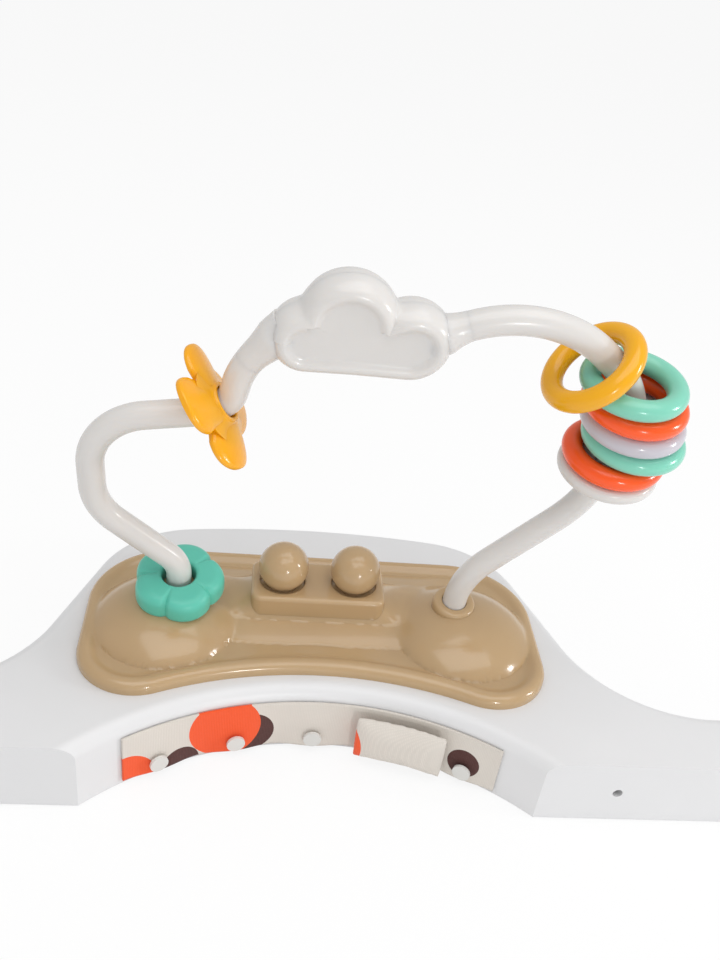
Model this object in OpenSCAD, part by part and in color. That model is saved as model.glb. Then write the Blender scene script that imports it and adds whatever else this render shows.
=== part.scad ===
// Front toy tray of a baby jumper: a white moulded tray with a tan console, a bent tube arch that
// carries a cloud, a spinner, a flower collar and six rings, and a strip of padded seat fabric.
// Millimetres, +Z up. The origin is the middle of the tray's footprint, on the plane it stands on.
// The child sits on the -Y side. The arch stands in one plane that leans towards the child.

/* [Tray] */
// Width of the tray across both arms
tray_w = 550; // [530:1:620]
// Depth of the tray from the joint face to the back edge
tray_d = 200; // [194:1:230]
// Height of the tray wall
tray_h = 42; // [38:1:60]
// Wall thickness of the tray moulding
tray_wall = 3; // [2:0.5:4]
// Radius of the tray's soft top edge
tray_edge_r = 8; // [5:0.5:11]
// Radius of the long back edge
back_r = 560; // [480:10:800]
// Radius of each back corner
back_corner_r = 64; // [56:1:70]
// Distance of each back corner's centre from the middle
back_corner_x = 72; // [66:1:78]
// Radius of the sweep from the back into each arm
sweep_r = 78; // [66:1:84]
// Distance of each sweep's centre from the middle
sweep_x = 226; // [224:1:232]
// Depth of each arm, which is also the radius of its outer corner
arm_d = 40; // [34:1:46]
// Radius of the seat opening
seat_r = 180; // [172:1:190]
// Depth of the seat opening behind the joint face, as a share of the tray's depth
seat_reach_share = 0.23; // [0.2:0.005:0.24]
// Thickness of the joint flange that closes each arm
flange_t = 4; // [3:0.5:6]
// Diameter of the bolt holes in the joint flanges
joint_hole_d = 5.5; // [4:0.1:6.5]
// Distance between the two bolt holes of one flange
joint_pitch = 70; // [50:1:80]

/* [Console] */
// Width of the console
con_w = 266; // [258:1:272]
// Place of the console's back edge, as a share of the tray's depth
con_back_share = 0.295; // [0.275:0.005:0.32]
// Radius of the console's back corners
con_back_corner_r = 48; // [42:1:54]
// Radius of the console's front corners
con_front_corner_r = 33; // [28:1:36]
// Distance of each front corner's centre from the middle
con_front_corner_x = 99; // [96:1:100]
// Place of the front corners' centres in front of the middle, as a share of the tray's depth
con_front_share = 0.15; // [0.135:0.005:0.165]
// Radius of the hollow front edge
con_front_r = 215; // [200:1:260]
// Wall thickness of the console moulding
con_wall = 2.5; // [2:0.1:3]
// Height of the console's rim above the tray
rim_h = 7; // [6:0.1:9]
// Radius of the rim's outer edge
rim_r = 4.5; // [4:0.1:5]
// Width of the rim down to the valley inside it
rim_w = 13; // [11:0.1:14]
// Height of the valley above the tray
valley_h = 3.5; // [3:0.1:4]
// Radius of each mound
mound_r = 37; // [34:1:37.5]
// Height of each mound above the valley
mound_h = 17; // [14:0.5:20]
// Half the depth of the ridge that joins the mounds
ridge_half_d = 34; // [28:1:36]
// Height of the ridge above the valley
ridge_h = 8; // [6:0.5:10]
// Wall thickness of the button block
block_wall = 2; // [1.6:0.1:2.5]
// Height of the button block above the tray
block_h = 24; // [22:0.5:28]
// Place of the block's middle, behind the middle of the tray
block_y = 11; // [8:1:14]
// Radius of the block's upright corners
block_corner_r = 6; // [4:0.5:8]
// Width of the tray ledge that the console's rim stands on
ledge_w = 15; // [14.5:0.1:16]

/* [Buttons] */
// Diameter of each ball button
button_d = 29; // [27:0.5:30]
// Distance between the two buttons
button_pitch = 42; // [40:0.5:44]
// Height of the ball's centre above the block
button_lift = 9.8; // [9.8:0.1:11]
// Wall thickness of a button
button_wall = 2; // [1.5:0.1:2.5]
// Push travel of a button
button_travel = 3; // [2:0.5:4]
// Reach past the ball of the flange that keeps a button in the block
button_lip = 1.2; // [1:0.1:1.5]
// Thickness of that flange
button_lip_t = 2; // [1.5:0.1:2.5]
// Diameter of the neck between a ball and its flange
button_neck_d = 18; // [16:0.5:19]
// Outer diameter of a squeaker bellows
squeaker_d = 20; // [16:0.5:22]
// Wall thickness of a squeaker bellows
squeaker_wall = 1.2; // [1:0.1:1.5]
// Depth of a bellows fold
squeaker_fold = 2.5; // [2:0.1:3]
// Number of bellows folds
squeaker_folds = 3; // [2:1:4]
// Diameter of the squeaker's reed
reed_d = 9; // [8:0.1:10]
// Thickness of the reed's flange
reed_t = 1.5; // [1:0.1:2]
// Thickness of the plate that carries the squeakers
carrier_t = 3; // [2:0.5:4]
// Width of that plate
carrier_w = 112; // [108:1:116]
// Depth of that plate
carrier_d = 40; // [36:1:44]

/* [Arch] */
// Diameter of the arch tube
bar_d = 14; // [13:0.1:14.5]
// Wall thickness of the arch tube
bar_wall = 2; // [1.5:0.1:2.5]
// Lean of the arch towards the child, in degrees
arch_lean = 10; // [6:0.5:12]
// Place of the arch's plane on the tray's deck, behind the middle
arch_y = 3; // [0:0.5:6]
// Distance of each foot from the middle
foot_x = 80; // [78:0.5:81]
// Depth of the tube's end below the deck
foot_depth = 14; // [12:0.5:16]
// Height of the left leg's first bend above the deck
foot_h = 37; // [34:0.5:40]
// Radius of the left leg's first bend
foot_bend_r = 20; // [18:0.5:24]
// Turn of the left leg's first bend, in degrees
foot_turn = 47; // [42:0.5:50]
// Slanted run of the left leg
left_slant = 36; // [30:0.5:40]
// Radius of the left shoulder's two bends
shoulder_r = 34; // [30:0.5:36]
// Upright run of the left shoulder
shoulder_run = 14; // [8:0.5:20]
// Heading of the left shelf, in degrees
shelf_heading = 10; // [6:0.5:14]
// Length of the left shelf
shelf_run = 26; // [24:0.5:28]
// Radius of the two bends beside the spinner
perch_bend_r = 10.5; // [10:0.1:11.5]
// Heading of the straight perch that carries the spinner, in degrees
perch_heading = 34; // [32:0.5:36]
// Length of that perch
perch_run = 8.5; // [8:0.1:10]
// Heading of the neck above the spinner, in degrees
neck_heading = 78; // [76:0.5:80]
// Length of the neck's straight run
neck_run = 6; // [5:0.5:8]
// Radius of the neck's bend towards the cloud
neck_bend_r = 42; // [40:0.5:44]
// Heading of the left tube where it enters the cloud, in degrees
left_entry_heading = 50; // [48:0.5:52]
// Length of the left tube's last straight run into the cloud
left_entry_run = 20; // [18:0.5:22]
// Height of the right leg's first bend above the deck
right_foot_h = 28; // [27:0.5:30]
// Radius of the right leg's first bend
right_foot_bend_r = 52; // [48:0.5:56]
// Turn of the right leg's first bend, in degrees
right_foot_turn = 39.5; // [38:0.5:41]
// Slanted run of the right leg
right_slant = 45; // [43:0.5:47]
// Radius of the bend from the right leg to the stack
leg_bend_r = 79; // [74:1:84]
// Heading of the straight run that carries the stop disc, in degrees
stack_heading = 78; // [76:0.5:80]
// Length of that straight run
stack_run = 17; // [16:0.5:19]
// Radius of the right shoulder's bend
right_bend_r = 55; // [52:0.5:57]
// Heading of the tube past the right shoulder, in degrees
roof_heading = 141; // [139:0.5:143]
// Straight run between the right shoulder and the roof's bend
roof_run = 7; // [5:0.5:9]
// Radius of the roof's bend
roof_bend_r = 64; // [60:0.5:68]
// Heading of the right tube where it enters the cloud, in degrees
entry_heading = 207.5; // [205:0.5:210]
// Length of the last straight run into the cloud
entry_run = 21.5; // [20:0.5:24]
// Diameter of the collars on the console
collar_d = 25; // [23:0.5:27]
// Height of the collars above the deck, along the arch
collar_h = 25.5; // [24:0.5:28]
// Radius of a collar's top edge
collar_edge_r = 2.5; // [1.5:0.1:3]
// Diameter of the socket under each collar
socket_d = 20; // [19:0.5:22]
// Thickness of the socket's floor
socket_floor = 3; // [2.5:0.1:4]
// Length of the plug in each tube end
plug_len = 12; // [10:0.5:14]

/* [Cloud] */
// Thickness of the cloud from front to back
cloud_t = 23; // [22.5:0.1:26]
// Wall thickness of the cloud's two shells
cloud_wall = 2; // [1.6:0.1:2.2]
// Depth of the sunk front panel
panel_sink = 1.5; // [1:0.1:1.6]
// Width of the rim round the front panel
panel_rim = 7; // [6:0.1:8]
// Height of the cloud's lower edge above the deck, along the arch
cloud_base_h = 185; // [183:0.5:186]
// Radius of the cloud's left lobe
cloud_left_r = 17; // [16.8:0.1:17.5]
// Radius of the cloud's top lobe
cloud_top_r = 23; // [22:0.1:24]
// Radius of the cloud's right lobe
cloud_right_r = 19.5; // [19:0.1:20.5]
// Place of the left lobe's centre, left of the middle
cloud_left_x = 23.5; // [22.5:0.1:24.5]
// Place of the top lobe's centre, left of the middle
cloud_top_x = 5; // [4:0.1:6]
// Height of the top lobe's centre above the cloud's lower edge
cloud_top_h = 28; // [27:0.1:29]
// Place of the right lobe's centre, right of the middle
cloud_right_x = 24.5; // [23.5:0.1:25.5]

/* [Toys] */
// Outer diameter of every ring
ring_d = 53; // [50:0.5:56]
// Diameter of the ring's round section
ring_tube_d = 10.6; // [10:0.1:11]
// Gap between neighbours in the ring stack
ring_gap = 0.3; // [0.2:0.05:0.5]
// Diameter of the stop disc under the ring stack
stop_d = 52; // [48:0.5:54]
// Thickness of the stop disc
stop_t = 8; // [6:0.5:9]
// Height of the stop disc's middle above the deck, along the arch
stop_h = 136.5243; // [136:0.0001:138]
// Diameter of the pin that holds the stop disc
stop_pin_d = 3; // [2.5:0.1:4]
// Place of the yellow ring along the straight run past the right shoulder
yellow_s = 4; // [3.5:0.1:5]
// Heading of the yellow ring's axis, in degrees
yellow_heading = 133; // [131:0.5:136]
// Distance of each petal's tip from the spinner's axis
petal_reach = 32; // [30:0.5:34]
// Radius of each petal's round end
petal_r = 13.5; // [12:0.5:14]
// Thickness of a petal
petal_t = 5; // [4:0.1:5.5]
// Sweep of a petal back from the hub's narrow end, in degrees
petal_sweep = 4; // [2:0.5:6]
// Pitch of a petal, in degrees
petal_pitch = 5; // [3:0.5:8]
// Turn of the spinner at rest, in degrees
petal_phase = 45; // [40:1:50]
// Number of spinner petals
petal_count = 4; // [4:1:6]
// Half-width of a petal's root, as a share of its round end's radius
petal_root_share = 0.74; // [0.6:0.01:0.78]
// Diameter of the spinner's hub at its wide end
hub_d = 27; // [26:0.5:28]
// Diameter of the spinner's hub at its narrow end
hub_tip_d = 20.6; // [20:0.1:21.5]
// Length of the spinner's hub
hub_len = 10; // [9:0.1:10.2]
// Place of the hub's wide end past the start of its perch
hub_s = 0.6; // [0.4:0.1:0.8]
// Clearance of the spinner's bore round the tube, which bends a little inside it
spinner_play = 1.3; // [1.2:0.1:1.5]
// Radius of each lobe of the flower
flower_lobe_r = 16; // [15:0.5:16.5]
// Radius of the circle on which the lobes sit
flower_pitch_r = 9.5; // [9:0.5:10.5]
// Thickness of the flower
flower_t = 15.5; // [14:0.5:17]
// Step of the flower's edges
flower_edge = 3; // [2:0.1:4]
// Diameter of the flower's hole
flower_hole_d = 19; // [18:0.5:20]
// Depth by which the flower reaches down over the collar
flower_drop = 4.2; // [3:0.1:4.2]
// Turn of the flower at rest, in degrees
flower_phase = 4; // [0:1:71]
// Number of flower lobes
flower_count = 5; // [4:1:6]

/* [Seat fabric] */
// Thickness of the seat panel
fabric_t = 2.5; // [2:0.1:3]
// Half the angle that the seat panel covers round the opening
fabric_half_angle = 34; // [30:0.5:36]
// Height of the seat panel's lower hem
fabric_hem_h = 3; // [2:0.5:6]
// Depth of the folds in the seat panel
fold_depth = 2.4; // [1:0.1:3]
// Number of folds across the seat panel
fold_count = 5; // [3:1:7]
// Angle from the middle to the near edge of the padded flap
flap_from_angle = 7; // [5:0.5:9]
// Angle that the flap covers
flap_sweep_angle = 18; // [14:0.5:20]
// Thickness of the flap at its crown
flap_t = 9; // [6:0.5:10]
// Thickness of the flap along its edge
flap_edge_t = 2; // [1.5:0.1:3]

/* [Fasteners] */
// Shank diameter of the console and carrier screws
screw_d = 3; // [2.5:0.1:3.5]
// Head diameter of those screws
screw_head_d = 6; // [5.5:0.1:7]
// Head height of those screws
screw_head_h = 2.2; // [1.8:0.1:3]
// Diameter of a screw boss
boss_d = 8; // [7.5:0.1:9]
// Shank diameter of the tube end screws
end_screw_d = 4; // [3.5:0.1:4.5]
// Head diameter of the tube end screws
end_head_d = 8; // [7.5:0.1:9]
// Head height of the tube end screws
end_head_h = 3; // [2.5:0.1:3.5]
// Shank diameter of the seat panel's studs
stud_d = 4; // [3.5:0.1:5]
// Head diameter of the studs
stud_head_d = 10; // [9:0.5:12]
// Head height of the studs
stud_head_h = 1.5; // [1:0.1:2]
// Angle between neighbouring studs
stud_angle = 14; // [12:0.5:15]
// Number of studs
stud_count = 5; // [3:2:5]
// Clearance of fixed pieces that slip together
slip = 0.2; // [0.1:0.05:0.3]
// Clearance of loose and moving pieces
loose = 0.3; // [0.25:0.05:0.5]

/* [Hidden] */
$fn = 64;
// Overrun of every cut
cut = 1;
// Depth by which every other stretch of a swept wall lies inside its neighbours, so that they join cleanly
skim = 0.02;
// Length by which such a stretch reaches into its neighbours
lap = 0.2;
edge_steps = 4;
outline_steps = 8;

bar_r = bar_d / 2;
joint_y = -tray_d / 2;
seat_reach = tray_d * seat_reach_share;
seat_end_x = sqrt(pow(seat_r, 2) - pow(seat_r - seat_reach, 2));
joint_x = (seat_end_x + tray_w / 2) / 2;
con_back_y = tray_d * con_back_share;
con_front_corner_y = tray_d * con_front_share;
deck_z = tray_h;

function turn_to(a) = [cos(a), sin(a)];
function left_of(a) = [-sin(a), cos(a)];

// Tray outline: tangent arcs and lines, each moved inwards by d
back_c = [0, tray_d / 2 - back_r];
back_gap_r = back_r - back_corner_r;
corner_c = [back_corner_x, back_c.y + sqrt(pow(back_gap_r, 2) - pow(back_corner_x, 2))];
sweep_c = [sweep_x, joint_y + arm_d + sweep_r];
arm_c = [tray_w / 2 - arm_d, joint_y];
seat_c = [0, joint_y + seat_reach - seat_r];
corner_angle = atan2(corner_c.y - back_c.y, corner_c.x);
side_gap = sweep_c - corner_c;
side_angle = atan2(side_gap.y, side_gap.x) + acos((back_corner_r + sweep_r) / norm(side_gap));
seat_angle = asin((joint_y - seat_c.y) / seat_r);

function side_top(d) = corner_c + (back_corner_r - d) * turn_to(side_angle);
function side_foot(d) = sweep_c - (sweep_r + d) * turn_to(side_angle);
function arm_start(d) = [sweep_c.x, sweep_c.y - sweep_r - d];
function arm_stop(d) = [arm_c.x, joint_y + arm_d - d];
function back_end(d) = back_c + (back_r - d) * turn_to(corner_angle);

module both_sides() {
    children();
    mirror([1, 0, 0]) children();
}

module tray_half(d) {
    difference() {
        polygon([[0, joint_y], arm_c, arm_stop(d), arm_start(d), sweep_c, side_foot(d), side_top(d),
            corner_c, back_end(d), [0, back_end(d).y]]);
        translate(sweep_c) circle(sweep_r + d);
    }
    translate(corner_c) circle(back_corner_r - d);
    intersection() {
        translate(arm_c) circle(arm_d - d);
        translate([arm_c.x - arm_d, joint_y]) square([arm_d * 2, arm_d]);
    }
}

module tray_region(d) {
    difference() {
        union() {
            both_sides() tray_half(d);
            intersection() {
                translate(back_c) circle(back_r - d, $fn = 256);
                translate([-back_end(d).x, back_end(d).y]) square([back_end(d).x * 2, tray_d]);
            }
        }
        translate(seat_c) circle(seat_r + d, $fn = 128);
    }
}

// Rising quarter round without its last point
function quarter(r, centre) = [for (i = [0 : edge_steps - 1]) let (a = 180 - 90 * i / edge_steps)
    centre + r * turn_to(a)];
function reversed(list) = [for (i = [len(list) - 1 : -1 : 0]) list[i]];

// A skirt with a soft top edge that ends a skim inside the deck, drawn in by k
tray_edge_c = [tray_edge_r, tray_h - tray_edge_r];
function tray_section(k) = concat([[k, 0]], quarter(tray_edge_r - k, tray_edge_c),
    [[tray_edge_r, tray_h - skim - k], [tray_edge_r, tray_h - tray_wall + skim + k]],
    reversed(quarter(tray_edge_r - tray_wall + k, tray_edge_c)), [[tray_wall - k, 0]]);

// Sweeps a section of inward distance and height round an arc; inwards is 1 towards its centre, -1 away
module arc_run(c, r, from, to, section, inwards) {
    translate(c) rotate([0, 0, from]) rotate_extrude(angle = to - from, $fn = 128)
        polygon([for (p = section) [r - inwards * p.x, p.y]]);
}

function lap_angle(r) = lap / r * 180 / PI;

// The same, reaching into the neighbours at both ends
module lapped_arc(c, r, from, to, section, inwards) {
    arc_run(c, r, from - lap_angle(r), to + lap_angle(r), section, inwards);
}

// The outline's inside lies to the right of the way from p to q; both ends stop half a lap short
module straight_run(p, q, section) {
    way = q - p;
    translate(p) rotate([0, 0, atan2(way.y, way.x)]) rotate([90, 0, 90]) translate([0, 0, lap / 2])
        linear_extrude(norm(way) - lap) polygon([for (s = section) [-s.x, s.y]]);
}

module tray_skirt() {
    arc_run(back_c, back_r, corner_angle, 180 - corner_angle, tray_section(0), 1);
    both_sides() {
        lapped_arc(corner_c, back_corner_r, side_angle, corner_angle, tray_section(skim), 1);
        straight_run(side_top(0), side_foot(0), tray_section(0));
        lapped_arc(sweep_c, sweep_r, 180 + side_angle, 270, tray_section(skim), -1);
        straight_run(arm_start(0), arm_stop(0), tray_section(0));
        arc_run(arm_c, arm_d, 0, 90 + lap_angle(arm_d), tray_section(skim), 1);
    }
    intersection() {
        arc_run(seat_c, seat_r, 0, 180, tray_section(0), -1);
        translate([-seat_r, joint_y, 0]) cube([seat_r * 2, tray_d, tray_h]);
    }
}

module joint_flange() {
    intersection() {
        union() {
            linear_extrude(tray_h - tray_edge_r) tray_region(tray_wall / 2);
            linear_extrude(tray_h - tray_wall / 2) tray_region(tray_edge_r);
        }
        translate([0, joint_y, 0]) cube([tray_w, flange_t, tray_h]);
    }
}

module joint_holes() {
    for (s = [-1, 1]) translate([joint_x + s * joint_pitch / 2, joint_y - cut, tray_h / 2])
        rotate([-90, 0, 0]) cylinder(h = flange_t + 2 * cut, d = joint_hole_d);
}

// Console outline, built in the same way
con_back_c = [con_w / 2 - con_back_corner_r, con_back_y - con_back_corner_r];
con_front_c = [con_front_corner_x, -con_front_corner_y];
con_reach_r = con_front_r + con_front_corner_r;
con_hollow_c = [0, con_front_c.y - sqrt(pow(con_reach_r, 2) - pow(con_front_corner_x, 2))];
con_side_gap = con_front_c - con_back_c;
con_side_angle = atan2(con_side_gap.y, con_side_gap.x)
    + acos((con_back_corner_r - con_front_corner_r) / norm(con_side_gap));
con_hollow_angle = atan2(con_front_c.y - con_hollow_c.y, con_front_c.x);

function con_side_top(d) = con_back_c + (con_back_corner_r - d) * turn_to(con_side_angle);
function con_side_foot(d) = con_front_c + (con_front_corner_r - d) * turn_to(con_side_angle);

function arc_points(c, r, from, to) = [for (i = [0 : outline_steps - 1])
    c + r * turn_to(from + (to - from) * (i + 1 / 2) / outline_steps)];
function console_half(d) = concat(
    arc_points(con_back_c, con_back_corner_r - d, 90, con_side_angle),
    arc_points(con_front_c, con_front_corner_r - d, con_side_angle, con_hollow_angle - 180),
    arc_points(con_hollow_c, con_front_r + d, con_hollow_angle, 90));
function flipped(list) = [for (p = reversed(list)) [-p.x, p.y]];

module console_region(d) {
    polygon(concat(console_half(d), flipped(console_half(d))));
}

// Rim section: upright wall, round crest, then an even fall that ends a skim inside the floor, drawn in by k
rim_c = [rim_r, rim_h - rim_r];
floor_lap = (rim_w - rim_r) / 3;
function rim_section(k) = concat([[k, 0]], quarter(rim_r - k, rim_c), [[rim_r, rim_h - k],
    [rim_w, valley_h - skim - k], [rim_w, valley_h - con_wall + skim + k], [rim_r, rim_h - con_wall + k]],
    reversed(quarter(rim_r - con_wall + k, rim_c)), [[con_wall - k, 0]]);

module console_rim() {
    straight_run([-con_back_c.x, con_back_y], [con_back_c.x, con_back_y], rim_section(0));
    arc_run(con_hollow_c, con_front_r, con_hollow_angle, 180 - con_hollow_angle, rim_section(0), -1);
    both_sides() {
        lapped_arc(con_back_c, con_back_corner_r, con_side_angle, 90, rim_section(skim), 1);
        straight_run(con_side_top(0), con_side_foot(0), rim_section(0));
        lapped_arc(con_front_c, con_front_corner_r, con_hollow_angle - 180, con_side_angle,
            rim_section(skim), 1);
    }
}

// The block encloses both buttons with their retaining flanges
block_margin = button_lip + loose + block_wall;
block_w = button_pitch + button_d + 2 * block_margin;
block_d = button_d + 2 * block_margin;

// Radius of a round cap that is h high over a foot of half-width w
function cap_r(w, h) = (w * w + h * h) / (2 * h);
mound_cap_r = cap_r(mound_r, mound_h);
ridge_cap_r = cap_r(ridge_half_d, ridge_h);

// Mounds and ridge are caps of a ball and of a lying cylinder, cut off at the given foot
module mound(inset, foot) {
    intersection() {
        translate([0, 0, valley_h + mound_h - mound_cap_r]) sphere(mound_cap_r - inset);
        translate([-mound_r, -mound_r, foot]) cube([mound_r * 2, mound_r * 2, mound_h * 2]);
    }
}

module ridge(inset, foot) {
    intersection() {
        translate([0, block_y, valley_h + ridge_h - ridge_cap_r]) rotate([0, 90, 0])
            cylinder(h = foot_x * 2, r = ridge_cap_r - inset, center = true, $fn = 128);
        translate([-foot_x, block_y - ridge_half_d, foot]) cube([foot_x * 2, ridge_half_d * 2, ridge_h * 2]);
    }
}

module block(inset, foot, top) {
    size = [block_w - 2 * inset, block_d - 2 * inset];
    r = block_corner_r - inset;
    translate([0, block_y, foot]) linear_extrude(top - foot) {
        square([size.x - 2 * r, size.y], center = true);
        square([size.x, size.y - 2 * r], center = true);
        for (x = [-1, 1], y = [-1, 1]) translate([x * (size.x / 2 - r), y * (size.y / 2 - r)]) circle(r);
    }
}

module landscape(inset, block_inset, foot) {
    both_sides() translate([foot_x, 0, 0]) mound(inset, foot);
    ridge(inset, foot);
    block(block_inset, foot, block_h - inset);
}

// Screws that hold the console down on the tray's ledge
boss_inset = ledge_w / 2;
boss_top = valley_h - con_wall / 4;
console_screw_places = [
    [con_back_c.x * 2 / 3, con_back_y - boss_inset],
    con_side_foot(boss_inset),
    con_front_c + (con_front_corner_r - boss_inset) * turn_to(con_hollow_angle - 180)];
carrier_boss_x = block_w / 2 + boss_d;
carrier_boss_top = valley_h + ridge_h - con_wall / 2;
carrier_top = valley_h - con_wall;

module at_console_screws() {
    both_sides() for (p = console_screw_places) translate([p.x, p.y, deck_z]) children();
}

module at_carrier_screws() {
    both_sides() translate([carrier_boss_x, block_y, deck_z]) children();
}

// Frame of the arch: X across, Y up along the leaning plane, Z towards the child
module on_arch() {
    translate([0, arch_y, deck_z]) rotate([90 + arch_lean, 0, 0]) children();
}

// Stands the child on the arch's plane at point p, with its Z along the heading
module along(p, heading) {
    translate([p.x, p.y, 0]) rotate([0, 0, heading]) rotate([0, 90, 0]) children();
}

module at_foot(h) {
    on_arch() along([foot_x, h], 90) children();
}

// Tube paths: each step is [length, 0] for a line or [radius, turn] for an arc
left_path = [[foot_depth + foot_h, 0], [foot_bend_r, foot_turn], [left_slant, 0],
    [shoulder_r, -foot_turn], [shoulder_run, 0], [shoulder_r, shelf_heading - 90], [shelf_run, 0],
    [perch_bend_r, perch_heading - shelf_heading], [perch_run, 0],
    [perch_bend_r, neck_heading - perch_heading], [neck_run, 0],
    [neck_bend_r, left_entry_heading - neck_heading], [left_entry_run, 0]];
right_path = [[foot_depth + right_foot_h, 0], [right_foot_bend_r, -right_foot_turn], [right_slant, 0],
    [leg_bend_r, stack_heading - 90 + right_foot_turn], [stack_run, 0],
    [right_bend_r, roof_heading - stack_heading], [roof_run, 0], [roof_bend_r, entry_heading - roof_heading],
    [entry_run, 0]];
left_start = [-foot_x, -foot_depth];
right_start = [foot_x, -foot_depth];

function bend_centre(p, a, step) = p + sign(step[1]) * step[0] * left_of(a);
function stepped(p, a, step) = step[1] == 0 ? p + step[0] * turn_to(a)
    : bend_centre(p, a, step) - sign(step[1]) * step[0] * left_of(a + step[1]);
function heading_at(path, n) = n <= 0 ? 90 : heading_at(path, n - 1) + path[n - 1][1];
function point_at(path, start, n) = n <= 0 ? start
    : stepped(point_at(path, start, n - 1), heading_at(path, n - 1), path[n - 1]);

// Hollow section of the tube, drawn in by k on both faces of its wall
module tube_section(k) {
    difference() {
        circle(bar_r - k);
        circle(bar_r - bar_wall + k);
    }
}

// Straight runs are drawn in by a skim and lap into the bends beside them, but not past the tube's ends
module bent_tube(path, start) {
    last = len(path) - 1;
    for (i = [0 : last]) {
        p = point_at(path, start, i);
        a = heading_at(path, i);
        step = path[i];
        c = bend_centre(p, a, step);
        before = i == 0 ? 0 : lap;
        after = i == last ? 0 : lap;
        if (step[1] == 0) along(p, a) translate([0, 0, -before])
            linear_extrude(step[0] + before + after) tube_section(skim);
        else translate([c.x, c.y, 0]) rotate([0, 0, step[1] > 0 ? a - 90 : a + 90 + step[1]])
            rotate_extrude(angle = abs(step[1]), $fn = 128) translate([step[0], 0]) tube_section(0);
    }
}

perch_count = 8;
left_entry_count = 12;
stack_count = 4;
right_bend_count = 5;
roof_count = 6;
entry_count = 8;
perch_p = point_at(left_path, left_start, perch_count);
left_entry_p = point_at(left_path, left_start, left_entry_count);
stack_p = point_at(right_path, right_start, stack_count);
entry_p = point_at(right_path, right_start, entry_count);
right_bend_p = point_at(right_path, right_start, right_bend_count);
roof_p = point_at(right_path, right_start, roof_count);
right_bend_c = bend_centre(right_bend_p, stack_heading, right_path[right_bend_count]);

// The tube's place at a height in the stack: on the straight run, then on the shoulder's bend
function stack_x(h) = h <= right_bend_p.y ? stack_p.x + (h - stack_p.y) / tan(stack_heading)
    : right_bend_c.x + sqrt(pow(right_bend_r, 2) - pow(h - right_bend_c.y, 2));

// Cloud outline: three lobes over a level lower edge
cloud_left_c = [-cloud_left_x, cloud_base_h + cloud_left_r];
cloud_top_c = [-cloud_top_x, cloud_base_h + cloud_top_h];
cloud_right_c = [cloud_right_x, cloud_base_h + cloud_right_r];

module cloud_region(d) {
    translate(cloud_left_c) circle(cloud_left_r - d);
    translate(cloud_top_c) circle(cloud_top_r - d);
    translate(cloud_right_c) circle(cloud_right_r - d);
    polygon([[cloud_left_c.x, cloud_base_h + d], [cloud_right_c.x, cloud_base_h + d],
        cloud_right_c, cloud_top_c, cloud_left_c]);
}

cloud_half_t = cloud_t / 2;
cloud_boss_places = [[-cloud_top_x, cloud_top_c.y + cloud_top_r / 2], [0, cloud_base_h + boss_d],
    [cloud_right_x - cloud_right_r / 2, cloud_base_h + boss_d]];

module tube_passages(clear) {
    along(left_entry_p, left_entry_heading) cylinder(h = left_entry_run + loose, d = bar_d + 2 * clear);
    along(entry_p, entry_heading) cylinder(h = entry_run + loose, d = bar_d + 2 * clear);
}

module cloud_shell(sink) {
    difference() {
        linear_extrude(cloud_half_t) cloud_region(0);
        translate([0, 0, -cut]) linear_extrude(cloud_half_t - cloud_wall - sink + cut)
            cloud_region(cloud_wall);
    }
    for (p = cloud_boss_places) translate([p.x, p.y, 0]) cylinder(h = cloud_half_t - cloud_wall, d = boss_d);
}

module tray_shell() color("gainsboro") {
    difference() {
        union() {
            tray_skirt();
            translate([0, 0, tray_h - tray_wall]) linear_extrude(tray_wall) tray_region(tray_edge_r - lap);
            both_sides() joint_flange();
        }
        translate([0, 0, tray_h - tray_wall - cut]) linear_extrude(tray_wall + 2 * cut)
            console_region(ledge_w);
        both_sides() joint_holes();
        at_console_screws() translate([0, 0, -tray_wall - cut])
            cylinder(h = tray_wall + 2 * cut, d = screw_d + 2 * slip);
        at_studs() translate([0, 0, -tray_edge_r]) cylinder(h = 2 * tray_edge_r, d = stud_d + 2 * slip);
    }
}

module console_shell() color("tan") {
    difference() {
        union() {
            translate([0, 0, deck_z]) {
                console_rim();
                difference() {
                    union() {
                        translate([0, 0, valley_h - con_wall]) linear_extrude(con_wall)
                            console_region(rim_w - floor_lap);
                        landscape(0, 0, valley_h - con_wall);
                    }
                    landscape(con_wall, block_wall, valley_h - con_wall - cut);
                }
            }
            both_sides() {
                at_foot(mound_h / 2) cylinder(h = collar_h - mound_h / 2 - collar_edge_r, d = collar_d);
                at_foot(collar_h - collar_edge_r)
                    cylinder(h = collar_edge_r, d1 = collar_d, d2 = collar_d - 2 * collar_edge_r);
                at_foot(-foot_depth - socket_floor)
                    cylinder(h = foot_depth + socket_floor + mound_h, d = socket_d);
            }
            at_console_screws() cylinder(h = boss_top, d = boss_d);
            at_carrier_screws() translate([0, 0, carrier_top])
                cylinder(h = carrier_boss_top - carrier_top, d = boss_d);
        }
        both_sides() {
            at_foot(-foot_depth) cylinder(h = foot_depth + collar_h + cut, d = bar_d + 2 * slip);
            at_foot(-foot_depth - socket_floor - cut)
                cylinder(h = socket_floor + 2 * cut, d = end_screw_d + 2 * slip);
            translate([button_pitch / 2, block_y, deck_z + block_h - con_wall - cut])
                cylinder(h = con_wall + 2 * cut, r = button_hole_r);
        }
        at_console_screws() translate([0, 0, -cut]) cylinder(h = boss_top, d = screw_d);
        at_carrier_screws() cylinder(h = carrier_boss_top - con_wall, d = screw_d);
    }
}

module console_screws() color("silver") {
    at_console_screws() {
        translate([0, 0, -tray_wall - screw_head_h]) cylinder(h = screw_head_h, d = screw_head_d);
        translate([0, 0, -tray_wall]) cylinder(h = tray_wall + boss_top - cut, d = screw_d);
    }
}

button_r = button_d / 2;
button_roof = deck_z + block_h;
button_foot = -con_wall - loose - button_lip_t;
button_drop = block_h + button_foot - carrier_top;
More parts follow.
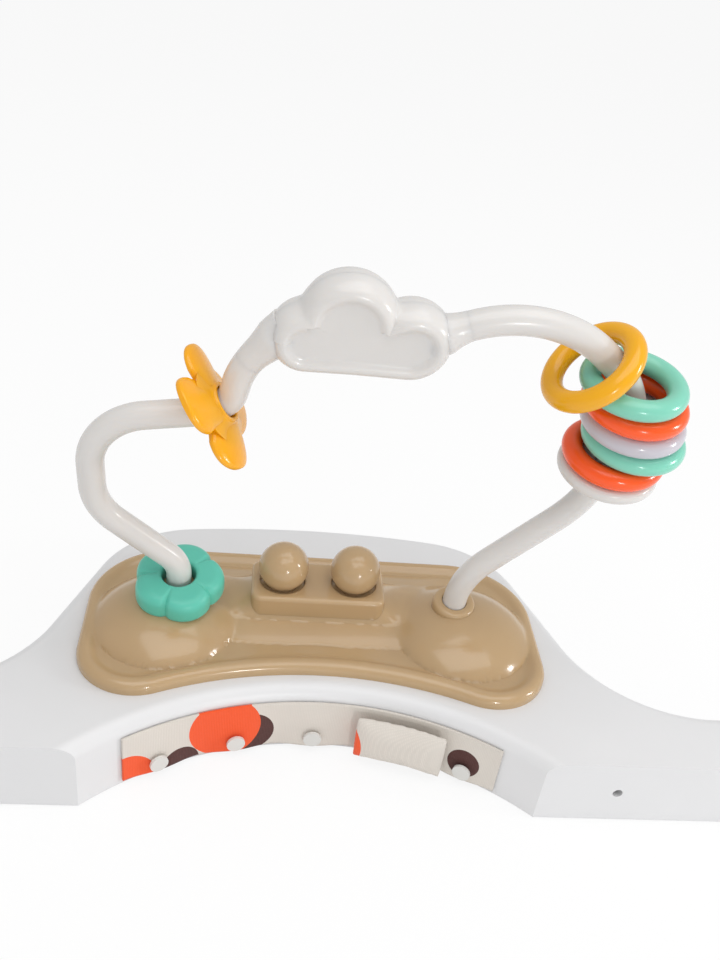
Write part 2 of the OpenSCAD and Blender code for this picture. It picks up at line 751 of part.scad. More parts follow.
// The block's holes let the balls sink in by their travel
button_hole_r = sqrt(pow(button_r, 2) - pow(button_lift - button_travel, 2)) + loose;

// Carrier plate with a stop ring under each button's flange, which ends the button's travel
module carrier_plate() color("whitesmoke") {
    difference() {
        union() {
            translate([-carrier_w / 2, block_y - carrier_d / 2, deck_z + carrier_top - carrier_t])
                cube([carrier_w, carrier_d, carrier_t]);
            at_reeds() linear_extrude(button_drop - button_travel - loose) difference() {
                circle(button_r);
                circle(button_r - button_wall);
            }
        }
        at_carrier_screws() translate([0, 0, carrier_top - carrier_t - cut])
            cylinder(h = carrier_t + 2 * cut, d = screw_d + 2 * slip);
        at_reeds() translate([0, 0, -carrier_t - cut])
            cylinder(h = carrier_t + 2 * cut, d = reed_d + 2 * slip);
    }
}

module carrier_screws() color("silver") {
    at_carrier_screws() translate([0, 0, carrier_top - carrier_t]) {
        translate([0, 0, -screw_head_h]) cylinder(h = screw_head_h, d = screw_head_d);
        cylinder(h = carrier_boss_top - con_wall - carrier_top + carrier_t - cut, d = screw_d);
    }
}

module at_reeds() {
    both_sides() translate([button_pitch / 2, block_y, deck_z + carrier_top]) children();
}

// Button: a hollow ball on a neck, over a retaining flange under the block's roof
module button(side) {
    translate([side * button_pitch / 2, block_y, button_roof]) {
        difference() {
            union() {
                translate([0, 0, button_lift]) sphere(button_r);
                translate([0, 0, button_foot]) cylinder(h = button_lift - button_foot, d = button_neck_d);
            }
            translate([0, 0, button_lift]) sphere(button_r - button_wall);
        }
        translate([0, 0, button_foot]) cylinder(h = button_lip_t, r = button_r + button_lip);
    }
}

module button_left() color("tan") button(-1);

module button_right() color("tan") button(1);

// Bellows: a zigzag wall closed by two ends
squeaker_h = button_drop - loose;
fold_pitch = squeaker_h / squeaker_folds;
function zigzag(r) = [for (i = [0 : 2 * squeaker_folds])
    [r - (i % 2 == 0 ? squeaker_fold : 0), fold_pitch * i / 2]];

module squeaker(side) {
    translate([side * button_pitch / 2, block_y, deck_z + carrier_top]) difference() {
        rotate_extrude() polygon(concat([[0, 0]], zigzag(squeaker_d / 2), [[0, squeaker_h]]));
        translate([0, 0, squeaker_wall]) rotate_extrude()
            polygon(concat([[0, 0]], [for (p = zigzag(squeaker_d / 2 - squeaker_wall))
                [p.x, p.y * (squeaker_h - 2 * squeaker_wall) / squeaker_h]],
                [[0, squeaker_h - 2 * squeaker_wall]]));
        translate([0, 0, -cut]) cylinder(h = squeaker_wall + 2 * cut, d = reed_d + 2 * slip);
    }
}

module squeaker_left() color("ivory") squeaker(-1);

module squeaker_right() color("ivory") squeaker(1);

// Each reed passes up through the plate and keeps a flange under it
module squeaker_reeds() color("dimgray") {
    at_reeds() difference() {
        union() {
            translate([0, 0, -carrier_t - reed_t]) cylinder(h = reed_t, d = reed_d + 2 * reed_t);
            translate([0, 0, -carrier_t]) cylinder(h = carrier_t + squeaker_wall, d = reed_d);
        }
        translate([0, 0, -carrier_t - reed_t - cut])
            cylinder(h = carrier_t + reed_t + squeaker_wall + 2 * cut, d = reed_d / 2);
    }
}

module arch_tube_left() color("whitesmoke") on_arch() bent_tube(left_path, left_start);

module arch_tube_right() color("whitesmoke") on_arch() difference() {
    bent_tube(right_path, right_start);
    along([stack_x(stop_h), stop_h], stack_heading) rotate([0, 90, 0])
        cylinder(h = bar_d + 2 * cut, d = stop_pin_d, center = true);
}

module tube_end_plugs() color("gray") {
    both_sides() at_foot(-foot_depth) difference() {
        cylinder(h = plug_len, d = bar_d - 2 * bar_wall);
        translate([0, 0, -cut]) cylinder(h = plug_len + 2 * cut, d = end_screw_d);
    }
}

module tube_end_screws() color("silver") {
    both_sides() at_foot(-foot_depth - socket_floor) {
        translate([0, 0, -end_head_h]) cylinder(h = end_head_h, d = end_head_d);
        cylinder(h = socket_floor + plug_len, d = end_screw_d);
    }
}

module cloud_front() color("whitesmoke") on_arch() difference() {
    cloud_shell(panel_sink);
    translate([0, 0, cloud_half_t - panel_sink]) linear_extrude(panel_sink + cut) cloud_region(panel_rim);
    tube_passages(slip);
    for (p = cloud_boss_places) translate([p.x, p.y, -cut])
        cylinder(h = cloud_half_t - cloud_wall - panel_sink, d = screw_d);
}

module cloud_back() color("whitesmoke") on_arch() mirror([0, 0, 1]) difference() {
    cloud_shell(0);
    tube_passages(slip);
    for (p = cloud_boss_places) translate([p.x, p.y, -cut]) {
        cylinder(h = cloud_half_t + 2 * cut, d = screw_d + 2 * slip);
        translate([0, 0, cloud_half_t - screw_head_h + cut])
            cylinder(h = screw_head_h + cut, d = screw_head_d + 2 * slip);
    }
}

module cloud_screws() color("silver") on_arch() {
    for (p = cloud_boss_places) translate([p.x, p.y, -cloud_half_t]) {
        cylinder(h = screw_head_h, d = screw_head_d);
        cylinder(h = cloud_half_t * 2 - cloud_wall - panel_sink - 2 * cut, d = screw_d);
    }
}

// Stop disc: a thick round-edged plate that lies level across the arch, pinned to the tube
stack_ring_x_shares = [-0.1, 0.22, 0.06, 0.1, 0.21];
ring_r = ring_d / 2 - ring_tube_d / 2;
ring_play = ring_d - 2 * ring_tube_d - bar_d;

module stop_disc() color("whitesmoke") on_arch() difference() {
    along([stack_x(stop_h), stop_h - stop_t / 2], 90) {
        cylinder(h = stop_t, d = stop_d - stop_t);
        translate([0, 0, stop_t / 2]) rotate_extrude()
            translate([(stop_d - stop_t) / 2, 0]) circle(d = stop_t);
    }
    along(stack_p, stack_heading) cylinder(h = stack_run, d = bar_d + 2 * slip);
    along([stack_x(stop_h), stop_h], stack_heading) rotate([0, 90, 0])
        cylinder(h = stop_d - stop_t, d = stop_pin_d, center = true);
}

module stop_pin() color("silver") on_arch() {
    along([stack_x(stop_h), stop_h], stack_heading) rotate([0, 90, 0])
        cylinder(h = bar_d * 2, d = stop_pin_d, center = true);
}

module torus() {
    rotate_extrude($fn = 96) translate([ring_r, 0]) circle(ring_tube_d / 2);
}

// Rings of the stack lie level, each let sideways by its share of the play round the tube
module stack_ring(n) {
    h = stop_h + stop_t / 2 + ring_gap + ring_tube_d / 2 + n * (ring_tube_d + ring_gap);
    on_arch() along([stack_x(h) + ring_play * stack_ring_x_shares[n], h], 90) torus();
}

module ring_orange_lower() color("orangered") stack_ring(0);

module ring_teal_lower() color("mediumaquamarine") stack_ring(1);

module ring_grey() color("silver") stack_ring(2);

module ring_orange_upper() color("orangered") stack_ring(3);

module ring_teal_upper() color("mediumaquamarine") stack_ring(4);

// The yellow ring hangs from the tube past the shoulder, its upper inside against the tube
yellow_bar = roof_p + yellow_s * turn_to(roof_heading);
yellow_hang = (ring_play / 2 - 2 * loose) * cos(yellow_heading - roof_heading);

module ring_yellow() color("goldenrod") on_arch()
    along(yellow_bar + yellow_hang * left_of(yellow_heading), yellow_heading) torus();

// Spinner: a conical hub with broad petals that are pitched and swept back a little
bore_d = bar_d + 2 * spinner_play;
petal_run = petal_reach - petal_r - bore_d / 2;
petal_root_w = petal_r * petal_root_share;

module petal() {
    translate([bore_d / 2, 0, hub_len / 2]) rotate([0, petal_sweep, 0]) rotate([petal_pitch, 0, 0])
        translate([0, 0, -petal_t / 2]) linear_extrude(petal_t) {
            translate([petal_run, 0]) circle(petal_r);
            polygon([[0, -petal_root_w], [petal_run, -petal_r], [petal_run, petal_r], [0, petal_root_w]]);
        }
}

module spinner() color("orange") on_arch() along(perch_p, perch_heading) translate([0, 0, hub_s])
    difference() {
        union() {
            cylinder(h = hub_len, d1 = hub_d, d2 = hub_tip_d);
            for (i = [0 : petal_count - 1]) rotate([0, 0, petal_phase + 360 * i / petal_count]) petal();
        }
        translate([0, 0, -hub_len]) cylinder(h = hub_len * 3, d = bore_d);
    }

// Flower: a ring of lobes round a loose hole, its faces drawn in at the edge, capping the left collar
module flower_region(d) {
    for (i = [0 : flower_count - 1]) rotate(flower_phase + 360 * i / flower_count)
        translate([flower_pitch_r, 0]) circle(flower_lobe_r - d);
}

module flower_collar() color("mediumturquoise") mirror([1, 0, 0])
    at_foot(collar_h + loose - flower_drop) difference() {
    union() {
        linear_extrude(flower_t) flower_region(flower_edge);
        translate([0, 0, flower_edge]) linear_extrude(flower_t - 2 * flower_edge) flower_region(0);
    }
    translate([0, 0, -cut]) cylinder(h = flower_t + 2 * cut, d = flower_hole_d);
    translate([0, 0, -cut]) cylinder(h = flower_drop + cut, d = collar_d + 2 * loose);
}

// Seat fabric: a sheet of given thickness, from the wall's inner face, as one closed skin of triangles
fabric_top = tray_h - tray_edge_r;
fold_steps = 44;
hang_steps = 6;

function skin_faces(nu, nv) = let (w = nv + 1, back = (nu + 1) * w) concat(
    [for (i = [0 : nu - 1], j = [0 : nv - 1], k = [0, 1]) let (a = i * w + j)
        k == 0 ? [a, a + 1, a + w] : [a + 1, a + w + 1, a + w]],
    [for (i = [0 : nu - 1], j = [0 : nv - 1], k = [0, 1]) let (a = back + i * w + j)
        k == 0 ? [a, a + w, a + 1] : [a + 1, a + w, a + w + 1]],
    [for (i = [0 : nu - 1], j = [0, nv], k = [0, 1]) let (a = i * w + j, b = back + a)
        j == 0 ? (k == 0 ? [a, a + w, b] : [a + w, b + w, b])
            : (k == 0 ? [a, b, a + w] : [a + w, b, b + w])],
    [for (j = [0 : nv - 1], i = [0, nu], k = [0, 1]) let (a = i * w + j, b = back + a)
        i == 0 ? (k == 0 ? [a, b, a + 1] : [a + 1, b, b + 1])
            : (k == 0 ? [a, a + 1, b] : [a + 1, b + 1, b])]);

function on_seat(r, a, z) = [seat_c.x + r * sin(a), seat_c.y + r * cos(a), z];
function fold_in(u, v) = fold_depth * v * (1 - cos(360 * fold_count * u)) / 2;
panel_r = seat_r - loose;

function grid_of(nu, nv) = [for (i = [0 : nu], j = [0 : nv]) [i / nu, j / nv]];
function hang_z(v) = fabric_top + (fabric_hem_h - fabric_top) * v;
function panel_point(g, depth) = on_seat(panel_r - fold_in(g.x, g.y) - depth,
    fabric_half_angle * (2 * g.x - 1), hang_z(g.y));

module seat_front_panel() color("linen") difference() {
    grid = grid_of(fold_steps, hang_steps);
    polyhedron(concat([for (g = grid) panel_point(g, 0)], [for (g = grid) panel_point(g, fabric_t)]),
        skin_faces(fold_steps, hang_steps));
    at_studs() translate([0, 0, -tray_edge_r]) cylinder(h = 2 * tray_edge_r, d = stud_d + 2 * slip);
}

// The flap lies on the panel with a crown in its middle and drawn-in edges
flap_r = panel_r - fabric_t - fold_depth - stud_head_h - loose;
flap_steps = 18;
function crown(g) = (1 - pow(2 * g.x - 1, 4)) * (1 - pow(2 * g.y - 1, 4));
function flap_point(g, depth) =
    on_seat(flap_r - depth, flap_from_angle + flap_sweep_angle * g.x, hang_z(g.y));

module seat_flap() color("linen") {
    grid = grid_of(flap_steps, flap_steps);
    polyhedron(concat([for (g = grid) flap_point(g, 0)],
        [for (g = grid) flap_point(g, flap_edge_t + (flap_t - flap_edge_t) * crown(g))]),
        skin_faces(flap_steps, flap_steps));
}

// Studs through the seat wall, their heads on the fabric
stud_z = fabric_hem_h + stud_head_d * 3 / 4;

module at_studs() {
    for (i = [0 : stud_count - 1]) translate([seat_c.x, seat_c.y, stud_z])
        rotate([0, 0, 90 + stud_angle * (i - (stud_count - 1) / 2)]) translate([seat_r, 0, 0])
            rotate([0, 90, 0]) children();
}

module panel_studs() color("white") at_studs() {
    translate([0, 0, -loose - fabric_t - fold_depth - stud_head_h])
        cylinder(h = stud_head_h, d = stud_head_d);
    translate([0, 0, -loose - fabric_t - fold_depth])
        cylinder(h = loose + fabric_t + fold_depth + tray_wall, d = stud_d);
    translate([0, 0, tray_wall]) cylinder(h = stud_head_h, d = stud_head_d);
}

tray_shell();
console_shell();
console_screws();
carrier_plate();
carrier_screws();
button_left();
button_right();
squeaker_left();
squeaker_right();
squeaker_reeds();
arch_tube_left();
arch_tube_right();
tube_end_plugs();
tube_end_screws();
cloud_front();
cloud_back();
cloud_screws();
stop_disc();
stop_pin();
spinner();
flower_collar();
ring_yellow();
ring_teal_upper();
ring_orange_upper();
ring_grey();
ring_teal_lower();
ring_orange_lower();
seat_front_panel();
seat_flap();
panel_studs();
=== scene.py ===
# %% [markdown]
# # A baby jumper's front toy tray
# The imported solids give every place and size. This lesson dresses them: nearly every piece that shows is
# worked out again as a smooth numpy surface in the same frame, gets a finish made of shader nodes, and
# rides on the body that carries it. First the frame is loaded.

# %% Load the frame
import math
import bpy
import bmesh
import numpy as np
from mathutils import Matrix, Vector
from mathutils.geometry import tessellate_polygon


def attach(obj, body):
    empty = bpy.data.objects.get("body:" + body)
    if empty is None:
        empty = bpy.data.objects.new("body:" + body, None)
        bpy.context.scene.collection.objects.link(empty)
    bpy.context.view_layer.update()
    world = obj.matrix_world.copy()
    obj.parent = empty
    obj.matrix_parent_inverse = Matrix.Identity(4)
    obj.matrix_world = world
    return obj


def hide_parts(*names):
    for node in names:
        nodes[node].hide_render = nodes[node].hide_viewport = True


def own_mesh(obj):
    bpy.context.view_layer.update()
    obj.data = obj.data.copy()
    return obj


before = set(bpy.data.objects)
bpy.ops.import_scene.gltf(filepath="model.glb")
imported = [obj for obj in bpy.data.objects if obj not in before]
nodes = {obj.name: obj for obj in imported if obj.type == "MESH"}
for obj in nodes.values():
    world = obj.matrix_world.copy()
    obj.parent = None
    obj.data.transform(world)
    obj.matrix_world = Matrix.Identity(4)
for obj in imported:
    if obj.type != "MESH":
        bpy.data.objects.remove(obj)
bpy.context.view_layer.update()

# %% [markdown]
# ## The camera
# The photograph looks down at the tray from the child's place. A fit to mirror pairs on the console gave the
# camera: 32 degrees of elevation, a little from the left, and rolled by 8 degrees. The rotation is written as
# the camera's own three axes, because they come straight out of such a fit. The sensor's 36 mm lie along the
# picture's long side.

# %% Place the camera
FOCAL_PX, LONG_SIDE_PX, SENSOR_MM = 930, 960, 36
scene = bpy.context.scene
scene.view_settings.view_transform = "Standard"
camera_data = bpy.data.cameras.new("photo_camera")
camera_data.lens = FOCAL_PX * SENSOR_MM / LONG_SIDE_PX
camera_data.sensor_width = SENSOR_MM
camera = bpy.data.objects.new("photo_camera", camera_data)
scene.collection.objects.link(camera)
right_axis = (0.99105, -0.06238, 0.11803)
up_axis = (-0.06609, 0.53887, 0.83979)
back_axis = (-0.11599, -0.84008, 0.52992)
turn = Matrix((right_axis, up_axis, back_axis)).transposed()
camera.matrix_world = Matrix.Translation((-0.0433, -0.4198, 0.4102)) @ turn.to_4x4()
scene.camera = camera
print("camera at", tuple(round(c, 3) for c in camera.location), "lens", round(camera_data.lens, 2), "mm")

# %% [markdown]
# ## Stage and light
# The photograph has a pure white background and soft light with a few small bright windows in the gloss.
# The world and the floor look white to the camera, while lamps and fill set the level on the object.
# Reflections see a dimmer world, so that the colours stay deep. A share of plain pale diffuse stays in the
# floor, so that it keeps the object's shadow.

# %% Build floor, world and lamps
AIM = Vector((0, 0, 0.1))


def fill(node, inputs):
    """Fills a node's inputs from a dictionary: sockets are linked, and other values are set."""
    for key, value in inputs.items():
        if isinstance(value, bpy.types.NodeSocket):
            node.id_data.links.new(value, node.inputs[key])
        else:
            node.inputs[key].default_value = value


def add_node(tree, kind, inputs=None):
    """A new shader node of that kind with its inputs filled."""
    node = tree.nodes.new("ShaderNode" + kind)
    fill(node, inputs or {})
    return node


def math_node(tree, operation, *values):
    """The operation on two or three values, each a socket or a number."""
    node = add_node(tree, "Math", dict(enumerate(values)))
    node.operation = operation
    return node.outputs[0]


def ray_sum(tree, base, seen, glossy):
    """base + seen on camera and transmission rays + glossy on glossy rays, from the ray's three flags."""
    path = add_node(tree, "LightPath")
    level = base
    for flag, gain in (("Is Camera Ray", seen), ("Is Transmission Ray", seen), ("Is Glossy Ray", glossy)):
        level = math_node(tree, "MULTIPLY_ADD", path.outputs[flag], gain, level)
    return level


def emptied(block):
    """The node tree of a world or material, switched on and cleared."""
    block.use_nodes = True
    block.node_tree.nodes.clear()
    return block.node_tree


def build_world(light, reflected):
    """A white world: strength 1 where it is seen, reflected in gloss, and light where it lights things."""
    scene.world = bpy.data.worlds.new("studio")
    tree = emptied(scene.world)
    strength = ray_sum(tree, light, 1 - light, reflected - light)
    sky = add_node(tree, "Background", {"Color": (1, 1, 1, 1), "Strength": strength})
    add_node(tree, "OutputWorld", {"Surface": sky.outputs[0]})


def build_floor(half, shine, drop=0.0005):
    """A square of half-size half, drop below z = 0: part diffuse, part white emission for seen rays."""
    mesh = bpy.data.meshes.new("floor")
    corners = [(x * half, y * half, -drop) for x, y in ((-1, -1), (1, -1), (1, 1), (-1, 1))]
    mesh.from_pydata(corners, [], [(0, 1, 2, 3)])
    material = bpy.data.materials.new("pale_floor")
    tree = emptied(material)
    diffuse = add_node(tree, "BsdfDiffuse", {"Color": (0.9, 0.9, 0.9, 1)}).outputs[0]
    glow = add_node(tree, "Emission").outputs[0]
    mix = add_node(tree, "MixShader", {0: ray_sum(tree, 0, shine, shine / 2), 1: diffuse, 2: glow})
    add_node(tree, "OutputMaterial", {"Surface": mix.outputs[0]})
    mesh.materials.append(material)
    floor = bpy.data.objects.new("floor", mesh)
    scene.collection.objects.link(floor)


def hang_lamp(name, direction, distance, size, power):
    """An area lamp of the given size at distance along direction from AIM, over the console, facing it."""
    lamp = bpy.data.lights.new(name, "AREA")
    lamp.shape = "RECTANGLE"
    lamp.size, lamp.size_y = size
    lamp.energy = power
    place = AIM + Vector(direction).normalized() * distance
    holder = bpy.data.objects.new(name, lamp)
    holder.location = place
    holder.rotation_euler = (place - AIM).to_track_quat("Z", "Y").to_euler()
    scene.collection.objects.link(holder)


build_world(0.62, 0.55)
build_floor(20, 0.86)
hang_lamp("roof_softbox", (0.1, -0.25, 1), 1.6, (1.8, 1.4), 13)
hang_lamp("right_window", (0.95, -0.185, 0.265), 1.3, (0.16, 0.22), 3.2)
hang_lamp("front_window", (0.279, -0.96, 0.12), 1.3, (0.10, 0.16), 2.2)
print("stage: floor, world and three lamps")

# %% [markdown]
# ## Finishes
# Moulded plastic is never one flat colour: the pigment clouds a little, fingers dull the gloss in patches
# and the mould leaves a fine grain. A node group makes these three from Object coordinates, once, and every
# plastic uses it with its own values. The shader itself stays in the material, where its constant sockets
# are set.

# %% Make the shared moulding group
FLOAT, COLOUR = "NodeSocketFloat", "NodeSocketColor"
SKIN_OUTPUTS = [("Colour", COLOUR), ("Roughness", FLOAT), ("Height", FLOAT)]


def new_group(name, inputs):
    """A shader node group with the given inputs and the skin's outputs, and its input and output nodes."""
    group = bpy.data.node_groups.new(name, "ShaderNodeTree")
    for label, kind, value in inputs:
        socket = group.interface.new_socket(name=label, in_out="INPUT", socket_type=kind)
        socket.default_value = value
    for label, kind in SKIN_OUTPUTS:
        group.interface.new_socket(name=label, in_out="OUTPUT", socket_type=kind)
    return group, group.nodes.new("NodeGroupInput"), group.nodes.new("NodeGroupOutput")


def noise_node(tree, vector, scale, detail):
    """Noise of the given scale on a vector, from 0 to 1."""
    node = add_node(tree, "TexNoise", {"Vector": vector, "Scale": scale, "Detail": detail})
    return node.outputs["Fac"]


moulding, g_in, g_out = new_group("moulded_plastic", [
    ("Colour", COLOUR, (0.5, 0.5, 0.5, 1)), ("Clouding", FLOAT, 0.05), ("Gloss", FLOAT, 0.15),
    ("Wear", FLOAT, 0.06)])
coords = add_node(moulding, "TexCoord").outputs["Object"]
cloud_noise = noise_node(moulding, coords, 26, 3)
touch_noise = noise_node(moulding, coords, 70, 4)
grain_noise = noise_node(moulding, coords, 2600, 2)
spread = math_node(moulding, "SUBTRACT", cloud_noise, 0.5)
tint = math_node(moulding, "MULTIPLY", spread, g_in.outputs["Clouding"])
brightness = math_node(moulding, "ADD", math_node(moulding, "MULTIPLY", tint, 2), 1)
dull = math_node(moulding, "MULTIPLY", touch_noise, g_in.outputs["Wear"])
rough = math_node(moulding, "ADD", g_in.outputs["Gloss"], dull)
grain = math_node(moulding, "ADD", grain_noise, cloud_noise)
shade = add_node(moulding, "HueSaturation", {"Value": brightness, "Color": g_in.outputs["Colour"]})
fill(g_out, {"Colour": shade.outputs["Color"], "Roughness": rough, "Height": grain})
print("group", moulding.name, "with", len(moulding.nodes), "nodes")

# %% [markdown]
# Each plastic below is one Principled shader fed by that group. Most of them let a little light in, the milky
# arch most of all, which softens their shade, so they have some subsurface scattering. Steel gets the same
# group with a metallic shader and a stronger bump, and the soft bellows a duller gloss.

# %% Mix the plastics and the steel
def srgb(code):
    """Linear colour from a six-digit sRGB code: ((c + 0.055) / 1.055)^2.4, or c / 12.92 when dark."""
    c = np.array([int(code[i:i + 2], 16) for i in (0, 2, 4)]) / 255
    return (*np.where(c <= 0.04045, c / 12.92, ((c + 0.055) / 1.055) ** 2.4).tolist(), 1)


def fed_material(name, group, strength, distance):
    """A material whose Principled shader takes colour, roughness and bump from a group node: all three."""
    material = bpy.data.materials.new(name)
    material.use_nodes = True
    tree = material.node_tree
    shader = tree.nodes["Principled BSDF"]
    skin = add_node(tree, "Group")
    skin.node_tree = group
    bump = {"Strength": strength, "Distance": distance, "Height": skin.outputs["Height"]}
    fill(shader, {"Base Color": skin.outputs["Colour"], "Roughness": skin.outputs["Roughness"],
                  "Normal": add_node(tree, "Bump", bump).outputs["Normal"]})
    return material, shader, skin


def plastic(name, code, gloss, clouding=0.05, wear=0.06, bump=0.02, depth=0.0, coat=0.0, metal=0.0):
    """A moulded finish: the shared group drives colour, roughness and bump; the rest are constants."""
    material, shader, skin = fed_material(name, moulding, bump, 0.0004)
    fill(skin, {"Colour": srgb(code), "Clouding": clouding, "Gloss": gloss, "Wear": wear})
    fill(shader, {"Metallic": metal, "Coat Weight": coat, "Coat Roughness": 0.05, "Subsurface Weight": depth,
                  "Subsurface Radius": (0.006, 0.005, 0.004), "Subsurface Scale": 1})
    return material


tan_gloss = plastic("tan_gloss", "BA9D76", 0.16, clouding=0.06, depth=0.15, coat=0.25)
tray_white = plastic("tray_white", "DEDEDF", 0.32, clouding=0.02, wear=0.1)
arch_milk = plastic("arch_milk", "D9D6D3", 0.22, clouding=0.03, depth=0.25, coat=0.15)
spinner_yellow = plastic("spinner_yellow", "F2A808", 0.2, depth=0.15, coat=0.08)
flower_teal = plastic("flower_teal", "5EC3AE", 0.34, depth=0.15)
hoops = {colour: plastic("ring_" + colour, code, 0.18, depth=0.1, coat=0.12) for colour, code in (
    ("yellow", "EFAC05"), ("teal", "82CFB8"), ("orange", "FF5A16"), ("grey", "C3C0C8"))}
inner_white = plastic("inner_white", "D8D7D3", 0.45, bump=0.06)
reed_grey = plastic("reed_grey", "5E5E60", 0.5, bump=0.06)
bellows = plastic("bellows", "DAD2C2", 0.6, bump=0.08, depth=0.2)
zinc = plastic("zinc", "B9B9BC", 0.28, clouding=0.08, wear=0.2, bump=0.1, metal=1.0)
print("plastics:", len(bpy.data.materials))

# %% [markdown]
# ## Making a piece from patches
# A piece is one mesh made of patches. A patch is a grid of points with its quads, or a flat area cut into
# triangles. Where patches share a border, their points are welded. Then all faces are turned outwards, and
# edges that turn by more than 40 degrees are marked sharp, so that rounded edges shade smoothly and real
# corners stay crisp.

# %% Helpers for grids, pieces and placement
MM, SHARP_ANGLE = 0.001, 40
DECK, ARCH_Y, LEAN = 42.0, 3.0, math.radians(10)


def grid(points, wrap_u=False, wrap_v=False):
    """A patch from points[u, v]: quad (i, j), (i + 1, j), (i + 1, j + 1), (i, j + 1), wrapped where asked."""
    nu, nv = points.shape[:2]
    i, j = np.meshgrid(np.arange(nu - (not wrap_u)), np.arange(nv - (not wrap_v)), indexing="ij")
    i2, j2 = (i + 1) % nu, (j + 1) % nv
    quads = np.stack([i * nv + j, i2 * nv + j, i2 * nv + j2, i * nv + j2], -1)
    return points.reshape(-1, 3), quads.reshape(-1, 4)


def flat_area(loops, lift, *place):
    """A flat area in the first loop, outside the others, as triangles; lift(points, *place) makes it 3D."""
    rings = [[Vector((x, y, 0)) for x, y in loop] for loop in loops]
    return lift(np.concatenate(loops), *place), np.array(tessellate_polygon(rings))


def add_piece(name, mesh, body, node):
    """Adds a mesh as an object that rides on body and takes the place of a CAD node."""
    piece = bpy.data.objects.new(name, mesh)
    scene.collection.objects.link(piece)
    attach(piece, body)
    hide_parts(node)
    return piece


def make_piece(name, patches, body, finish, node, weld=0.003):
    """Welds patches, points under weld mm apart, into one outward-facing piece in a node's place."""
    mesh = bpy.data.meshes.new(name)
    starts = np.cumsum([0] + [len(p) for p, _ in patches])
    points = np.concatenate([p for p, _ in patches]) * MM
    faces = [face for (_, f), s in zip(patches, starts) for face in (f + s).tolist()]
    mesh.from_pydata(points.tolist(), [], faces)
    bm = bmesh.new()
    bm.from_mesh(mesh)
    bmesh.ops.remove_doubles(bm, verts=bm.verts, dist=weld * MM)
    bmesh.ops.recalc_face_normals(bm, faces=bm.faces)
    bm.to_mesh(mesh)
    bm.free()
    mesh.shade_smooth()
    mesh.set_sharp_from_angle(angle=math.radians(SHARP_ANGLE))
    mesh.materials.append(finish)
    piece = add_piece(name, mesh, body, node)
    print(name, "made of", len(mesh.polygons), "faces")
    return piece


def turn_to(angle):
    """Unit vectors at angles in degrees."""
    a = np.radians(angle)
    return np.stack([np.cos(a), np.sin(a)], -1)


def lifted(q, z):
    """2D points with the height z, or heights, as their third coordinate."""
    return np.concatenate([q, np.broadcast_to(z, q.shape[:-1])[..., None]], -1)


def on_arch(x, h, w):
    """Arch plane to the frame: x across, h up along the leaning plane, w towards the child."""
    x, h, w = np.broadcast_arrays(x, h, w)
    y = ARCH_Y - h * math.sin(LEAN) - w * math.cos(LEAN)
    return np.stack([x, y, DECK + h * math.cos(LEAN) - w * math.sin(LEAN)], -1)


def along(p, heading, a, b, c):
    """Frame on the arch at p: c along the heading, b to its left in the plane, a away from the child."""
    t = math.radians(heading)
    return on_arch(p[0] + c * math.cos(t) - b * math.sin(t), p[1] + c * math.sin(t) + b * math.cos(t), -a)


def revolve(profile, p, heading, steps=72):
    """A closed profile of (radius, height) carried round the axis through p: (r cos t, r sin t, height)."""
    t = np.linspace(0, 2 * math.pi, steps, endpoint=False)[:, None]
    r, c = np.array(profile, float).T
    return grid(along(p, heading, r * np.cos(t), r * np.sin(t), c + 0 * t), wrap_u=True, wrap_v=True)


def rounded(profile, radii, steps=6):
    """A polygon with rounded corners: each becomes a quadratic curve between points radii away from it."""
    p = np.array(profile, float)
    back, ahead = np.roll(p, 1, 0) - p, np.roll(p, -1, 0) - p
    r = np.array(radii, float)[:, None]
    start = p + back * np.minimum(r / np.linalg.norm(back, axis=1, keepdims=True), 0.5)
    stop = p + ahead * np.minimum(r / np.linalg.norm(ahead, axis=1, keepdims=True), 0.5)
    t = np.linspace(0, 1, steps)[None, :, None]
    curve = start[:, None] * (1 - t) ** 2 + 2 * p[:, None] * t * (1 - t) + stop[:, None] * t ** 2
    return curve.reshape(-1, 2)


print("helpers ready")

# %% [markdown]
# ## Outlines
# The tray and the console have outlines of tangent arcs and lines. Such an outline is a list of points with
# the inward direction at each one, because a rounded edge is then only the outline moved inwards by some
# distance at some height. A convex arc's inward direction points to its centre and a hollow arc's away from
# it.

# %% Trace the tray's and the console's outlines
def arc_trace(centre, radius, start, stop, inwards, steps):
    """Points on an arc from start to stop degrees, with unit directions to its centre, or away for -1."""
    d = turn_to(np.linspace(start, stop, steps))
    return np.array(centre) + radius * d, -inwards * d


def join_traces(parts):
    """Joins traces end to end; straight runs appear between the end of one and the start of the next."""
    return np.concatenate([p for p, _ in parts]), np.concatenate([n for _, n in parts])


def mirrored(trace):
    """The trace mirrored in x and run backwards."""
    flip = np.array([-1, 1])
    return trace[0][::-1] * flip, trace[1][::-1] * flip


def run_lengths(points):
    """How far along a line of points each of them lies."""
    return np.concatenate([[0], np.cumsum(np.linalg.norm(np.diff(points, axis=0), axis=1))])


def sampled(trace, s):
    """The trace at distances s along it, with its directions made unit length again."""
    at = run_lengths(trace[0])
    p, n = (np.stack([np.interp(s, at, v[:, 0]), np.interp(s, at, v[:, 1])], -1) for v in trace)
    return p, n / np.linalg.norm(n, axis=1, keepdims=True)


def spaced(trace, step):
    """Adds points on long straight runs, so that no two neighbours are further apart than about step."""
    at = run_lengths(trace[0])
    runs = [np.linspace(a, b, int((b - a) // step) + 2)[:-1] for a, b in zip(at, at[1:])]
    return sampled(trace, np.concatenate(runs + [at[-1:]]))


def bearing(start, stop):
    """Direction from one point to another, in degrees."""
    return math.degrees(math.atan2(stop[1] - start[1], stop[0] - start[0]))


